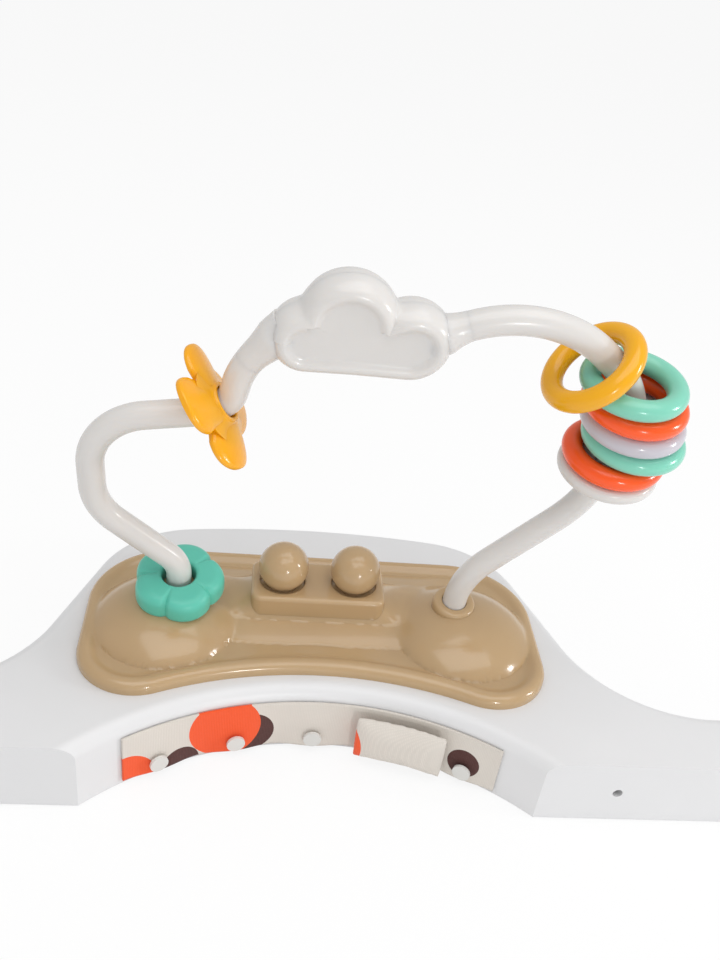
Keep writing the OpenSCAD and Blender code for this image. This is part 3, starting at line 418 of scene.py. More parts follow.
def tangent_bearing(start, stop, reach):
    """Direction of the radii to the shared tangent of two circles: bearing + acos(reach / distance)."""
    gap = stop - start
    return math.degrees(math.atan2(gap[1], gap[0]) + math.acos(reach / np.linalg.norm(gap)))


TRAY_W, TRAY_D, JOINT_Y = 550.0, 200.0, -100.0
BACK_R, CORNER_R, SWEEP_R, ARM_R, SEAT_R = 560, 64, 78, 40, 180.0
CORNER_X, SWEEP_X, SEAT_DEPTH = 72, 226, 46
back_c = np.array([0, TRAY_D / 2 - BACK_R])
corner_c = np.array([CORNER_X, back_c[1] + math.sqrt((BACK_R - CORNER_R) ** 2 - CORNER_X ** 2)])
sweep_c = np.array([SWEEP_X, JOINT_Y + ARM_R + SWEEP_R])
arm_c = np.array([TRAY_W / 2 - ARM_R, JOINT_Y])
seat_c = np.array([0, JOINT_Y + SEAT_DEPTH - SEAT_R])
side_angle = tangent_bearing(corner_c, sweep_c, CORNER_R + SWEEP_R)
corner_angle = bearing(back_c, corner_c)
half_tray = join_traces([
    arc_trace(arm_c, ARM_R, 0, 90, 1, 24), arc_trace(sweep_c, SWEEP_R, 270, 180 + side_angle, -1, 40),
    arc_trace(corner_c, CORNER_R, side_angle, corner_angle, 1, 24),
    arc_trace(back_c, BACK_R, corner_angle, 90, 1, 16)])
tray_trace = spaced(join_traces([half_tray, mirrored(half_tray)]), 6)
CON_HALF_W, CON_BACK_Y, CON_BACK_R, CON_FRONT_R, HOLLOW_R = 133, 59, 48, 33, 215
con_back_c = np.array([CON_HALF_W - CON_BACK_R, CON_BACK_Y - CON_BACK_R])
con_front_c = np.array([99, -30])
hollow_c = np.array([0, con_front_c[1] - math.sqrt((HOLLOW_R + CON_FRONT_R) ** 2 - con_front_c[0] ** 2)])
con_side = tangent_bearing(con_back_c, con_front_c, CON_BACK_R - CON_FRONT_R)
con_hollow = bearing(hollow_c, con_front_c)
half_console = join_traces([
    arc_trace(con_back_c, CON_BACK_R, 90, con_side, 1, 40),
    arc_trace(con_front_c, CON_FRONT_R, con_side, con_hollow - 180, 1, 50),
    arc_trace(hollow_c, HOLLOW_R, con_hollow, 90, -1, 70)])
closing = [v[:1] for v in half_console]
console_trace = spaced(join_traces([half_console, mirrored(half_console), closing]), 1.5)
print("tray outline", len(tray_trace[0]), "points, console outline", len(console_trace[0]), "points")

# %% [markdown]
# ## The tray
# A tray like this is one moulding with walls of about 3 mm and a soft top edge. The wall's section, an
# outer and an inner quarter round, is carried along the outline and along the seat opening. The deck
# between them is flat, with an opening under the console, and so are the two joint plates with their bolt
# holes.

# %% Build the tray
WALL, EDGE_R, LEDGE = 3, 8, 15
PLATE_T, BOLT_R, BOLT_OFFSET = 4.0, 2.75, 35


def carried(trace, section):
    """The section of (inset, height) points carried along a trace: point + inset * inward, at that height."""
    p, n = trace
    d, z = np.array(section, float).T
    return lifted(p[:, None] + n[:, None] * d[None, :, None], z)


def round_section(edge, top_z, foot_z, steps, inset=0):
    """A wall inset from the outline, from foot_z up to a quarter round about (edge, top_z - edge)."""
    arc = np.array([edge, top_z - edge]) + (edge - inset) * turn_to(np.linspace(180, 90, steps))
    return np.concatenate([[[inset, foot_z]], arc])


def circle_loop(x, y, r, steps=32):
    """Points of a circle."""
    return np.array([x, y]) + r * turn_to(np.linspace(0, 360, steps, endpoint=False))


def seat_band(section):
    """A section carried round the seat opening, where every line ends on the joint's plane."""
    d, z = np.array(section, float).T
    end = np.arcsin((JOINT_Y - seat_c[1]) / (SEAT_R + d))
    a = np.linspace(math.pi - end, end, 91)
    return lifted(seat_c + (SEAT_R + d)[:, None] * np.stack([np.cos(a), np.sin(a)], -1), z)


def stood(q, side, depth):
    """2D points (x, z) stood up, depth behind the joint's plane, on the right for 1 and the left for -1."""
    return np.column_stack([side * q[:, 0], np.full(len(q), JOINT_Y + depth), q[:, 1]])


outside = round_section(EDGE_R, DECK, 0, 10)
inside = round_section(EDGE_R, DECK, 0, 8, WALL)[::-1]
sections = (outside, inside, np.array([[WALL, 0], [0, 0]]))
patches = [grid(carried(tray_trace, q)) for q in sections] + [grid(seat_band(q)) for q in sections]
ledge = console_trace[0][:-1:3] + console_trace[1][:-1:3] * LEDGE
rim = np.concatenate([tray_trace[0] + EDGE_R * tray_trace[1], seat_band([[EDGE_R, DECK]])[:, 0, :2]])
patches += [flat_area([rim, ledge], lifted, z) for z in (DECK, DECK - WALL)]
opening = np.concatenate([ledge, ledge[:1]])
patches.append(grid(np.stack([lifted(opening, z) for z in (DECK - WALL, DECK)], 1)))
seat_side = seat_band(outside)[-1][::-1, [0, 2]]
plate = np.concatenate([outside * [-1, 1] + [TRAY_W / 2, 0], seat_side])
joint_x = (seat_side[-1, 0] + TRAY_W / 2) / 2
holes = [circle_loop(joint_x + s * BOLT_OFFSET, DECK / 2, BOLT_R) for s in (1, -1)]
for side in (1, -1):
    patches += [flat_area([plate] + holes, stood, side, depth) for depth in (0.0, PLATE_T)]
    for hole in holes:
        loop = np.concatenate([hole, hole[:1]])
        patches.append(grid(np.stack([stood(loop, side, depth) for depth in (0.0, PLATE_T)], 1)))
make_piece("tray_moulding", patches, "tray", tray_white, "tray_shell")

# %% [markdown]
# ## The console
# The tan console is a landscape: a rolled rim, a valley, two domes that carry the arch's feet, and a low
# ridge that flares up to the button block. A landscape is a height over each place, so it is worked out as
# one height function on a grid. The grid's lines run from the front of the outline across to its back, with
# closer points at the rim, so its edge follows the real edge exactly.

# %% Build the console's landscape
FOOT_X, BLOCK_Y, BLOCK_H, VALLEY, SHELL_T = 80.0, 11.0, 24.0, 3.5, 2.5
ROLL_R, ROLL_FOOT, RIM_W, SINK = 4.5, 2.5, 13.0, 1.5
DOME_R, DOME_H, DOME_OUT, DOME_NEAR = 41, 18, 7, 6


def smooth_max(a, b, k):
    """The larger of a and b with a fillet of size k: (a + b + sqrt((a - b)^2 + k^2)) / 2."""
    return (a + b + np.sqrt((a - b) ** 2 + k * k)) / 2


def dome(x, y):
    """Full dome beside the foot: height (1 - (r / radius)^2)^0.72, and SINK lower outside that radius."""
    r = np.hypot(np.abs(x) - FOOT_X - DOME_OUT, y + DOME_NEAR)
    return DOME_H * np.clip(1 - (r / DOME_R) ** 2, 0, 1) ** 0.72 - SINK * (r > DOME_R)


def ridge(x, y):
    """Low ridge that fades into the domes, plus a web beside the block that falls by exp(-distance / 9)."""
    across = np.clip(1 - ((y - BLOCK_Y) / 34) ** 2, 0, 1)
    near = np.clip(1 - ((y - BLOCK_Y) / 19) ** 2, 0, 1)
    fade = np.clip((104 - np.abs(x)) / 46, 0, 1)
    low = 7.5 * across ** 0.85 * fade * fade * (3 - 2 * fade) - SINK * (across <= 0)
    return low + 10.5 * near ** 0.7 * np.exp(-np.clip(np.abs(x) - 38, 0, None) / 9)


def land_height(x, y, d):
    """Rolled rim by inset d, then valley, domes and ridge joined with small fillets."""
    outer = ROLL_FOOT + np.sqrt(np.clip(ROLL_R ** 2 - (ROLL_R - d) ** 2, 0, None))
    slope = np.clip((d - ROLL_R) / (RIM_W - ROLL_R), 0, 1)
    roll = np.where(d < ROLL_R, outer, VALLEY + 3.5 * (0.5 + 0.5 * np.cos(math.pi * slope)))
    rise = VALLEY + smooth_max(dome(x, y), ridge(x, y), 3.0)
    return np.where(d > ROLL_R, smooth_max(roll, rise, 1.2), roll)


def part_of(trace, start, stop):
    """The stretch of a closed trace from one index to another, through its seam if need be."""
    pick = np.arange(start, stop + 1 if stop > start else stop + len(trace[0])) % (len(trace[0]) - 1)
    return trace[0][pick], trace[1][pick]


def evenly(trace, count=300):
    """The trace with count points, evenly spaced along its length."""
    return sampled(trace, np.linspace(0, run_lengths(trace[0])[-1], count))


right_end, left_end = int(np.argmax(console_trace[0][:, 0])), int(np.argmin(console_trace[0][:, 0]))
front_p, front_n = evenly(part_of(console_trace, right_end, left_end))
back_p, back_n = (v[::-1] for v in evenly(part_of(console_trace, left_end, right_end)))
round_insets = ROLL_R - ROLL_R * np.cos(np.linspace(0, math.pi / 2, 9))
insets = np.concatenate([round_insets, np.linspace(5.5, RIM_W, 8)])
front_rim = front_p[:, None] + front_n[:, None] * insets[None, :, None]
back_rim = back_p[:, None] + back_n[:, None] * insets[None, :, None]
t = np.linspace(0, 1, 84)[None, 1:-1, None]
middle = front_rim[:, -1:] * (1 - t) + back_rim[:, -1:] * t
plan = np.concatenate([front_rim, middle, back_rim[:, ::-1]], 1)
plan_d = np.concatenate([insets, np.full(middle.shape[1], RIM_W), insets[::-1]])[None, :]
height = land_height(plan[..., 0], plan[..., 1], plan_d)
deep = plan_d[0] >= SHELL_T
top = lifted(plan, DECK + height)
under = lifted(plan[:, deep], DECK + np.maximum(height[:, deep] - SHELL_T, 0))
front_in, back_in = front_p + SHELL_T * front_n, back_p + SHELL_T * back_n
land_patches = [grid(np.concatenate([lifted(a[:, None], DECK), skin, lifted(b[:, None], DECK)], 1))
                for a, skin, b in ((front_p, top, back_p), (front_in, under, back_in))]
land_patches += [grid(lifted(np.stack(pair, 1), DECK)) for pair in ((front_p, front_in), (back_p, back_in))]
print("landscape heights", round(float(height.min()), 1), "to", round(float(height.max()), 1), "mm")

# %% [markdown]
# The button block stands on that landscape. Its section, a wall with a soft top edge, is carried round a
# rectangle with rounded corners, and its flat top has two holes into which the balls sink when pushed. The
# collars and the sockets below them are turned profiles on the arch's leaning axis. All are parts of the one
# tan moulding, so they join its mesh.

# %% Add the block, collars and sockets to the console
def rectangle_trace(w, d, r, steps=10):
    """Closed rectangle with round corners, run clockwise from the right: points and inward directions."""
    x, y = w / 2 - r, d / 2 - r
    corners = [((x, y), 90), ((x, -y), 0), ((-x, -y), -90), ((-x, y), 180)]
    p, n = join_traces([arc_trace(c, r, a, a - 90, 1, steps) for c, a in corners])
    return np.concatenate([p, p[:1]]), np.concatenate([n, n[:1]])


def turned(profile, x, y, z, steps=80):
    """An open profile of (radius, height) turned about the upright line through (x, y), from height z."""
    r, c = np.array(profile, float).T
    around = turn_to(np.linspace(0, 360, steps + 1))[:, None]
    return grid(lifted(np.array([x, y]) + r[None, :, None] * around, z + c))


BUTTON_X, BUTTON_R, LIFT, TRAVEL = 21.0, 14.5, 9.8, 3
HOLE_R, LIP_R = math.sqrt(BUTTON_R ** 2 - (LIFT - TRAVEL) ** 2) + 0.3, 0.8
BLOCK_W, BLOCK_D, BLOCK_CORNER, BLOCK_EDGE, BLOCK_TOP = 78, 36, 6, 2.4, DECK + BLOCK_H
block_p, block_n = rectangle_trace(BLOCK_W, BLOCK_D, BLOCK_CORNER)
block_p = block_p + [0, BLOCK_Y]
lid = block_p[:-1] + BLOCK_EDGE * block_n[:-1]
holes = [circle_loop(x, BLOCK_Y, HOLE_R + LIP_R, 64) for x in (-BUTTON_X, BUTTON_X)]
lip = np.array([HOLE_R + LIP_R, -LIP_R]) + LIP_R * turn_to(np.linspace(90, 180, 6))
lip = np.concatenate([lip, [[HOLE_R, -6]]])
collar = rounded([(2.2, -17), (10, -17), (10, 10), (12.5, 10), (12.5, 25.5), (7.2, 25.5), (7.2, -14),
                  (2.2, -14)], [0.4, 0.6, 0.1, 0.1, 3.2, 0.8, 0.1, 0.1])
block_wall = carried((block_p, block_n), round_section(BLOCK_EDGE, BLOCK_TOP, DECK + 5, 9))
patches = land_patches + [grid(block_wall), flat_area([lid] + holes, lifted, BLOCK_TOP)]
patches += [turned(lip, x, BLOCK_Y, BLOCK_TOP, 64) for x in (-BUTTON_X, BUTTON_X)]
patches += [revolve(collar, (x, 0), 90) for x in (-FOOT_X, FOOT_X)]
make_piece("console_moulding", patches, "tray", tan_gloss, "console_shell", weld=0.08)

# %% [markdown]
# ## The ball buttons
# Each button is a ball on a neck with a flange under the block's roof, so it can be pushed but not pulled
# out. The profile is an arc that runs from the ball's top into the neck, turned about an upright axis.

# %% Build the buttons
ball = np.array([0, LIFT]) + BUTTON_R * turn_to(np.linspace(90, -51, 40))
stem = np.concatenate([ball, [[9, -2.8], [15.7, -2.8], [15.7, -4.8], [0, -4.8]]])
stem[0, 0] = 0
for side, x in (("left", -BUTTON_X), ("right", BUTTON_X)):
    make_piece("ball_button_" + side, [turned(stem, x, BLOCK_Y, BLOCK_TOP)], f"button_{side}_body", tan_gloss,
               "button_" + side)

# %% [markdown]
# ## The arch
# The arch is two bent tubes that meet inside the cloud. A tube is a circle carried along a path of lines
# and arcs, all in the plane that leans towards the child. The path is walked like a turtle's: each step is
# a length, or a radius and a turn.

# %% Bend the tubes
TUBE_R, FOOT_DEPTH = 7.0, 14.0


def walked(path, x, step=1.5):
    """Points and headings along (length, 0) lines and (radius, turn) arcs, from the foot at x upwards."""
    p, a, spots, headings = np.array([x, -FOOT_DEPTH]), 90.0, [], []
    for size, bend in path:
        length = size if bend == 0 else size * math.radians(abs(bend))
        f = np.linspace(0, 1, max(2, int(length / step)), endpoint=False)
        if bend == 0:
            spots.append(p + f[:, None] * size * turn_to(a))
            p = p + size * turn_to(a)
        else:
            side = math.copysign(1, bend)
            centre = p + side * size * turn_to(a + 90)
            spots.append(centre + size * turn_to(a - side * 90 + f * bend))
            p = centre + size * turn_to(a - side * 90 + bend)
        headings.append(a + f * bend)
        a += bend
    return np.concatenate(spots + [p[None]]), np.concatenate(headings + [[a]])


def tube(trace, radius, sides=40):
    """A circle of given radii along the path: p + r sin(t) left + r cos(t) out of the plane, closed."""
    p, a = trace
    r = np.broadcast_to(radius, len(p))[:, None]
    t = np.linspace(0, 2 * math.pi, sides, endpoint=False)[None]
    flat = p[:, None] + turn_to(a + 90)[:, None] * (r * np.sin(t))[..., None]
    skin = on_arch(flat[..., 0], flat[..., 1], r * np.cos(t))
    hubs = on_arch(p[[0, -1], 0], p[[0, -1], 1], 0)
    ends = [np.broadcast_to(hub, (1, sides, 3)) for hub in hubs]
    return grid(np.concatenate([ends[0], skin, ends[1]]), wrap_v=True)


left_path = [(51, 0), (20, 47), (36, 0), (34, -47), (14, 0), (34, -80), (26, 0), (10.5, 24), (8.5, 0),
             (10.5, 44), (6, 0), (42, -28), (20, 0)]
right_path = [(42, 0), (52, -39.5), (45, 0), (79, 27.5), (17, 0), (55, 63), (7, 0), (64, 66.5), (21.5, 0)]
left_trace, right_trace = walked(left_path, -FOOT_X), walked(right_path, FOOT_X)
for side, trace in (("left", left_trace), ("right", right_trace)):
    make_piece(side + "_tube", [tube(trace, TUBE_R)], "tray", arch_milk, "arch_tube_" + side)
print("tube ends at", left_trace[0][-1].round(1), right_trace[0][-1].round(1))

# %% [markdown]
# ## The cloud
# Two shells clamp the tube ends. Their outline is three lobes over a flat base. Seen from a point inside,
# every direction leaves the outline once, so the outline is a radius for each angle, and a soft maximum of
# lobes and base rounds the notches. The rim is the outline moved inwards step by step while the depth
# follows an ellipse. Where a tube comes in, the cloud reaches out to it: a skin round the tube's own path
# that widens like a trumpet until it sinks into the lobe.

# %% Shape the cloud
CLOUD_O, CLOUD_W, CLOUD_EDGE = np.array([0.0, 203.0]), 11.5, 6.5
lobes = [((-23.5, 202.0), 17.0), ((-5.0, 213.0), 23.0), ((24.5, 204.5), 19.5)]
rays = turn_to(np.linspace(0, 360, 720, endpoint=False))


def lobe_reach(c, r):
    """Distance along each ray to the far side of a circle; 0 where the ray misses it."""
    off = np.array(c) - CLOUD_O
    b = rays @ off
    disc = b * b - off @ off + r * r
    return np.where(disc > 0, b + np.sqrt(np.maximum(disc, 0)), 0)


def base_reach(d):
    """Distance along each ray to the sides of a box between the outer lobes, with its floor at 185 + d."""
    low, high = np.array([-23.5, 185 + d]) - CLOUD_O, np.array([24.5, 212]) - CLOUD_O
    return np.where(rays > 0, high / np.maximum(rays, 1e-9), low / np.minimum(rays, -1e-9)).min(1)


def cloud_loop(d):
    """Outline moved inwards by d: soft maximum of all reaches, or the plain one on rays that point down."""
    r = base_reach(d)
    for c, size in lobes:
        reach = lobe_reach(c, size - d)
        r = np.where(rays[:, 1] < 0, np.maximum(r, reach), smooth_max(r, reach, 3.0))
    return CLOUD_O + (r - 0.7)[:, None] * rays


def cloud_half(profile, sign):
    """Rings of the outline at (inset, depth) pairs, closed at the middle and seam; 1 faces the child."""
    loops = []
    for d, w in profile:
        q = cloud_loop(d)
        loops.append(on_arch(q[:, 0], q[:, 1], sign * w))
    hub = on_arch(CLOUD_O[0], CLOUD_O[1], sign * profile[-1][1])
    near = [loops[-1] + (hub - loops[-1]) * f for f in (0.3, 0.6, 0.85, 1.0)]
    seam = np.broadcast_to(on_arch(CLOUD_O[0], CLOUD_O[1], 0), loops[0].shape)
    return grid(np.stack([seam] + loops + near), wrap_v=True)


def flare(trace, lobe, out, growth=2.6):
    """Skin of radius TUBE_R + 0.04 + growth f^2: f is 0 at out before a lobe's edge, 1 from 3 inside it."""
    p, a = trace
    gap = np.linalg.norm(p - np.array(lobe[0]), axis=1) - lobe[1]
    kept = (gap > -12) & (gap < out)
    f = np.clip((out - gap[kept]) / (out + 3), 0, 1)
    return tube((p[kept], a[kept]), TUBE_R + 0.04 + growth * f ** 2)


bulge = [(CLOUD_EDGE - CLOUD_EDGE * math.sin(a), CLOUD_W * math.cos(a))
         for a in np.radians(np.linspace(90, 0, 16))]
dip = [(CLOUD_EDGE + 4.5 * f, CLOUD_W - 1.7 * (0.5 - 0.5 * math.cos(math.pi * f)))
       for f in np.linspace(0.1, 1, 10)]
front = [cloud_half(bulge + dip, 1), flare(left_trace, lobes[0], 14), flare(right_trace, lobes[2], 9)]
make_piece("cloud_front_shell", front, "tray", arch_milk, "cloud_front")
back = [cloud_half(bulge + [(8, CLOUD_W)], -1)]
make_piece("cloud_back_shell", back, "tray", arch_milk, "cloud_back")

# %% [markdown]
# ## The rings and their stop
# The rings are plain tori. Five lie loose on the stop disc, each pushed sideways by its own share of the
# play, and the yellow one hangs on the short straight run past the bend above them. A torus is a circle
# carried round a circle. The stop is a thick disc with a round edge.

# %% Thread the rings
RING_D, RING_T, RING_GAP, STOP_H, STOP_R, STOP_T = 53, 10.6, 0.3, 136.5243, 26, 8
STACK_HEADING, BEND_R, ROOF_HEADING, HANG_HEADING = 78, 55, 141, 133
PLAY = RING_D - 2 * RING_T - 2 * TUBE_R


def path_end(path, x, count):
    """Where a path stands after its first count steps."""
    return walked(path[:count], x)[0][-1]


def thread(name, p, heading, small=RING_T / 2):
    """Adds a torus about the heading through p: ((big + small cos v) cos u, (...) sin u, small sin v)."""
    u = np.linspace(0, 2 * math.pi, 112, endpoint=False)[:, None]
    v = np.linspace(0, 2 * math.pi, 40, endpoint=False)[None]
    r = RING_D / 2 - small + small * np.cos(v)
    hoop = grid(along(p, heading, r * np.cos(u), r * np.sin(u), small * np.sin(v) + 0 * u), True, True)
    colour = name.split("_")[0]
    make_piece(f"ring_{name}_hoop", [hoop], f"ring_{name}_body", hoops[colour], "ring_" + name)


def stack_x(h):
    """The tube's place at a height: on the straight run of the stack's heading, then on the bend."""
    if h <= bend_p[1]:
        return stack_p[0] + (h - stack_p[1]) / math.tan(math.radians(STACK_HEADING))
    return bend_c[0] + math.sqrt(BEND_R ** 2 - (h - bend_c[1]) ** 2)


stack_p, bend_p, roof_p = (path_end(right_path, FOOT_X, count) for count in (4, 5, 6))
bend_c = bend_p + BEND_R * turn_to(STACK_HEADING + 90)
shares = {"orange_lower": -0.1, "teal_lower": 0.22, "grey": 0.06, "orange_upper": 0.1, "teal_upper": 0.21}
for k, (name, share) in enumerate(shares.items()):
    h = STOP_H + STOP_T / 2 + RING_GAP + RING_T / 2 + k * (RING_T + RING_GAP)
    thread(name, (stack_x(h) + PLAY * share, h), 90)
hang = (PLAY / 2 - 0.6) * math.cos(math.radians(HANG_HEADING - ROOF_HEADING))
thread("yellow", roof_p + 4 * turn_to(ROOF_HEADING) + hang * turn_to(HANG_HEADING + 90), HANG_HEADING)
low, high = -STOP_T / 2, STOP_T / 2
disc = rounded([(7.3, low), (STOP_R, low), (STOP_R, high), (7.3, high)], [0.1, 4.4, 4.4, 0.1], 9)
stop = [revolve(disc, (stack_x(STOP_H), STOP_H), 90, 112)]
make_piece("stop_plate", stop, "tray", arch_milk, "stop_disc")

# %% [markdown]
# ## The spinner
# Four paddles grow out of a trumpet-shaped hub on the tube's short perch. A paddle is a soft plate: its width
# opens from the root to a rounded end, and each cross-section is a soft rectangle whose edges droop a little.
# The plate is pitched slightly about its own length, like a propeller's blade, so that a finger can flick it
# round.

# %% Build the spinner
PERCH_HEADING, PETALS, PHASE, PITCH = 34, 4, 45, 5
PETAL_ROOT, PETAL_L, PETAL_STEM, TIP_POWER = 8, 24, 9.5, 2.3
SPIN_P = path_end(left_path, -FOOT_X, 8) + 5.6 * turn_to(PERCH_HEADING)


def soft(v, power):
    """v to a power, with its sign kept."""
    return np.sign(v) * np.abs(v) ** power


def petal(k):
    """Petal k: half-width w(l), a rounded end, thickness |sin|^0.7, edges 1.5 (b / 13)^2 lower, pitched."""
    l = PETAL_L * (1 - (1 - np.linspace(0, 1, 48)[:, None]) ** 1.6)
    e = np.linspace(0, 2 * math.pi, 48, endpoint=False)[None]
    wide = 11.5 + 3 * np.clip(l / PETAL_STEM, 0, 1) ** 1.2
    end = np.clip((l - PETAL_STEM) / (PETAL_L - PETAL_STEM), 0, 1) ** TIP_POWER
    tip = np.clip(1 - end, 0, 1) ** (1 / TIP_POWER)
    thick = (2.7 + 1.8 * np.exp(-l / 7)) * (0.35 + 0.65 * tip)
    b, c = wide * tip * soft(np.cos(e), 0.8), thick * soft(np.sin(e), 0.7)
    c = c - 1.5 * (b / 13) ** 2 - 0.07 * l
    p, t = math.radians(PITCH), math.radians(PHASE + 360 / PETALS * k)
    b, c = b * math.cos(p) - c * math.sin(p), b * math.sin(p) + c * math.cos(p)
    r = PETAL_ROOT + l
    x, y = r * math.cos(t) - b * math.sin(t), r * math.sin(t) + b * math.cos(t)
    return grid(along(SPIN_P, PERCH_HEADING, x, y, c), wrap_v=True)


bell_f = np.linspace(0, 1, 14)[:, None]
bell = np.concatenate([20 - 9.9 * (1 - (1 - bell_f) ** 2), 4 * bell_f + 1], 1)
trumpet = np.concatenate([[[8.3, -4.6], [8.7, -5], [12.6, -5], [15.5, -3.6], [18.5, -0.8]], bell[:-1],
                          [[10.1, 4.6], [9.7, 5], [8.7, 5], [8.3, 4.6]]])
wheel = [revolve(trumpet, SPIN_P, PERCH_HEADING)] + [petal(k) for k in range(PETALS)]
make_piece("spinner_wheel", wheel, "spinner_body", spinner_yellow, "spinner")

# %% [markdown]
# ## The flower
# The flower is a soft ring with five lobes that caps the left collar. Its outer radius follows the lobes. Its
# section is a rounded polygon with a wider hole below, where the collar sits, and it stretches with the outer
# radius. Because only one side of it moves, two sections, a near and a far one, are mixed for every angle.
# Shallow seams run between the lobes.

# %% Build the flower
def flower_section(edge, thick=15.5, drop=4.2):
    """The ring's section for one outer radius: counterbore, soft outer edges, rounded hole edge on top."""
    corners = [(12.8, 0), (edge, 0), (edge, thick), (9.5, thick), (9.5, drop), (12.8, drop)]
    return rounded(corners, [0.3, 5.0, 7.0, 2.6, 0.1, 0.1], 10)


def flower(count=5, lobe_r=16.0, pitch_r=9.5, phase=57.6, near_r=20.0, far_r=26.0):
    """r(t), z(t) = near section (1 - s) + far section s, with s from the lobes' outline, less the seams."""
    t = np.radians(np.linspace(0, 360, 300, endpoint=False))[:, None]
    sector = 2 * math.pi / count
    off = np.abs((t - math.radians(phase) + sector / 2) % sector - sector / 2)
    edge = pitch_r * np.cos(off) + np.sqrt(lobe_r ** 2 - (pitch_r * np.sin(off)) ** 2)
    seam = np.exp(-((sector / 2 - off) * edge / 1.5) ** 2)
    near, far = flower_section(near_r), flower_section(far_r)
    s = (edge - near_r) / (far_r - near_r)
    r = near[:, 0] * (1 - s) + far[:, 0] * s
    z = near[:, 1] + 0 * t
    outer = np.clip((r - 11) / 8, 0, 1)
    r = r - 0.7 * seam * outer
    z = z - 1.0 * seam * outer * (z > 6)
    return grid(along((-FOOT_X, 21.6), 90, r * np.cos(t), r * np.sin(t), z), True, True)


make_piece("flower_ring", [flower()], "flower_collar_body", flower_teal, "flower_collar")

# %% [markdown]
# ## Fabric
# The seat's front panel is woven and printed with loose orange and brown spots. The weave is two crossed
# waves that also lift the surface, and the spots are cells of a Voronoi pattern cut off at a radius of
# their own. Both sit in one group, fed by the panel's own UV map in metres, or by Object coordinates on the
# pad, where there is no flat map.

# %% Make the printed cloth
cloth, c_in, c_out = new_group("printed_weave", [("Vector", "NodeSocketVector", (0, 0, 0))])


def spots(vector, scale, keep, size):
    """1 inside round spots, of radius size in Voronoi cells, where the cell's value is below keep."""
    cells = add_node(cloth, "TexVoronoi", {"Vector": vector, "Scale": scale, "Randomness": 0.55})
    pick = add_node(cloth, "SeparateColor", {"Color": cells.outputs["Color"]})
    inside = math_node(cloth, "LESS_THAN", cells.outputs["Distance"], size)
    return math_node(cloth, "MULTIPLY", inside, math_node(cloth, "LESS_THAN", pick.outputs["Red"], keep))


def threads(vector, direction, scale=350):
    """Fine bands across the cloth, one per 0.9 mm: the wave is sin(20 scale x), of period 2 pi / 7000 m."""
    wave = add_node(cloth, "TexWave", {"Vector": vector, "Scale": scale})
    wave.bands_direction = direction
    return wave.outputs["Fac"]


def overlay(below, mask, code):
    """Lays a colour over another where the mask is one."""
    mix = add_node(cloth, "Mix")
    mix.data_type = "RGBA"
    fill(mix, {"Factor": mask, "A": below, "B": srgb(code)})
    return mix.outputs["Result"]


flat = c_in.outputs["Vector"]
weave = math_node(cloth, "MULTIPLY", threads(flat, "X"), threads(flat, "Y"))
slub = noise_node(cloth, flat, 400, 3)
print_colour = overlay(srgb("DAD3CA"), spots(flat, 24, 0.45, 0.34), "4D241E")
print_colour = overlay(print_colour, spots(flat, 17, 0.5, 0.36), "F4551B")
brightness = math_node(cloth, "ADD", math_node(cloth, "MULTIPLY", weave, 0.1), 0.95)
rough = math_node(cloth, "ADD", math_node(cloth, "MULTIPLY", slub, 0.2), 0.7)
lift = math_node(cloth, "ADD", weave, slub)
worn = add_node(cloth, "HueSaturation", {"Value": brightness, "Color": print_colour})
fill(c_out, {"Colour": worn.outputs["Color"], "Roughness": rough, "Height": lift})


def printed_fabric(name, source):
    """The cloth's shader, with its pattern on the piece's UV map or on Object coordinates."""
    material, shader, skin = fed_material(name, cloth, 0.35, 0.0003)
    fill(skin, {"Vector": add_node(material.node_tree, "TexCoord").outputs[source]})
    fill(shader, {"Sheen Weight": 0.2})
    return material


panel_cloth = printed_fabric("panel_cloth", "UV")
pad_cloth = printed_fabric("pad_cloth", "Object")
print("cloth group with", len(cloth.nodes), "nodes")

# %% [markdown]
# The panel hangs from just under the tray's soft edge. It is a strip round the seat opening with five soft
# folds that grow towards its hem. Its flat map runs round the seat at the seat's radius, with the height
# down its other side, and the strip is given a thickness of 1.2 mm.

# %% Hang the seat panel
PANEL_ANGLE, PANEL_R, PANEL_TOP, PANEL_DROP = 34, 179.4, 34, 31
FOLDS, FOLD_DEPTH = 5, 2.4


def round_seat(angle, r, z):
    """Points at angles in degrees from the middle of the seat opening, on radii r and at heights z."""
    a = np.radians(angle)
    return np.stack([seat_c[0] + r * np.sin(a), seat_c[1] + r * np.cos(a), z], -1)


def hung_panel(u, v):
    """Round the seat from -34 to 34 degrees: radius 179.4 minus folds 2.4 v (1 - cos(10 pi u)) / 2."""
    r = PANEL_R - FOLD_DEPTH * v * (1 - np.cos(2 * math.pi * FOLDS * u)) / 2
    return round_seat(PANEL_ANGLE * (2 * u - 1), r, PANEL_TOP - PANEL_DROP * v)


u, v = np.meshgrid(np.linspace(0, 1, 240), np.linspace(0, 1, 36), indexing="ij")
strip = [grid(hung_panel(u, v))]
panel = make_piece("seat_panel_cloth", strip, "tray", panel_cloth, "seat_front_panel")
spot = np.empty(len(panel.data.vertices) * 3)
panel.data.vertices.foreach_get("co", spot)
spot = spot.reshape(-1, 3)
angle = np.arctan2(spot[:, 0] - seat_c[0] * MM, spot[:, 1] - seat_c[1] * MM)
flat_uv = np.column_stack([angle * SEAT_R * MM, spot[:, 2]])
corner = np.empty(len(panel.data.loops), int)
panel.data.loops.foreach_get("vertex_index", corner)
panel.data.uv_layers.new(name="cut").data.foreach_set("uv", flat_uv[corner].ravel())
thickness = panel.modifiers.new("cloth", "SOLIDIFY")
thickness.thickness = 0.0012
thickness.offset = 1

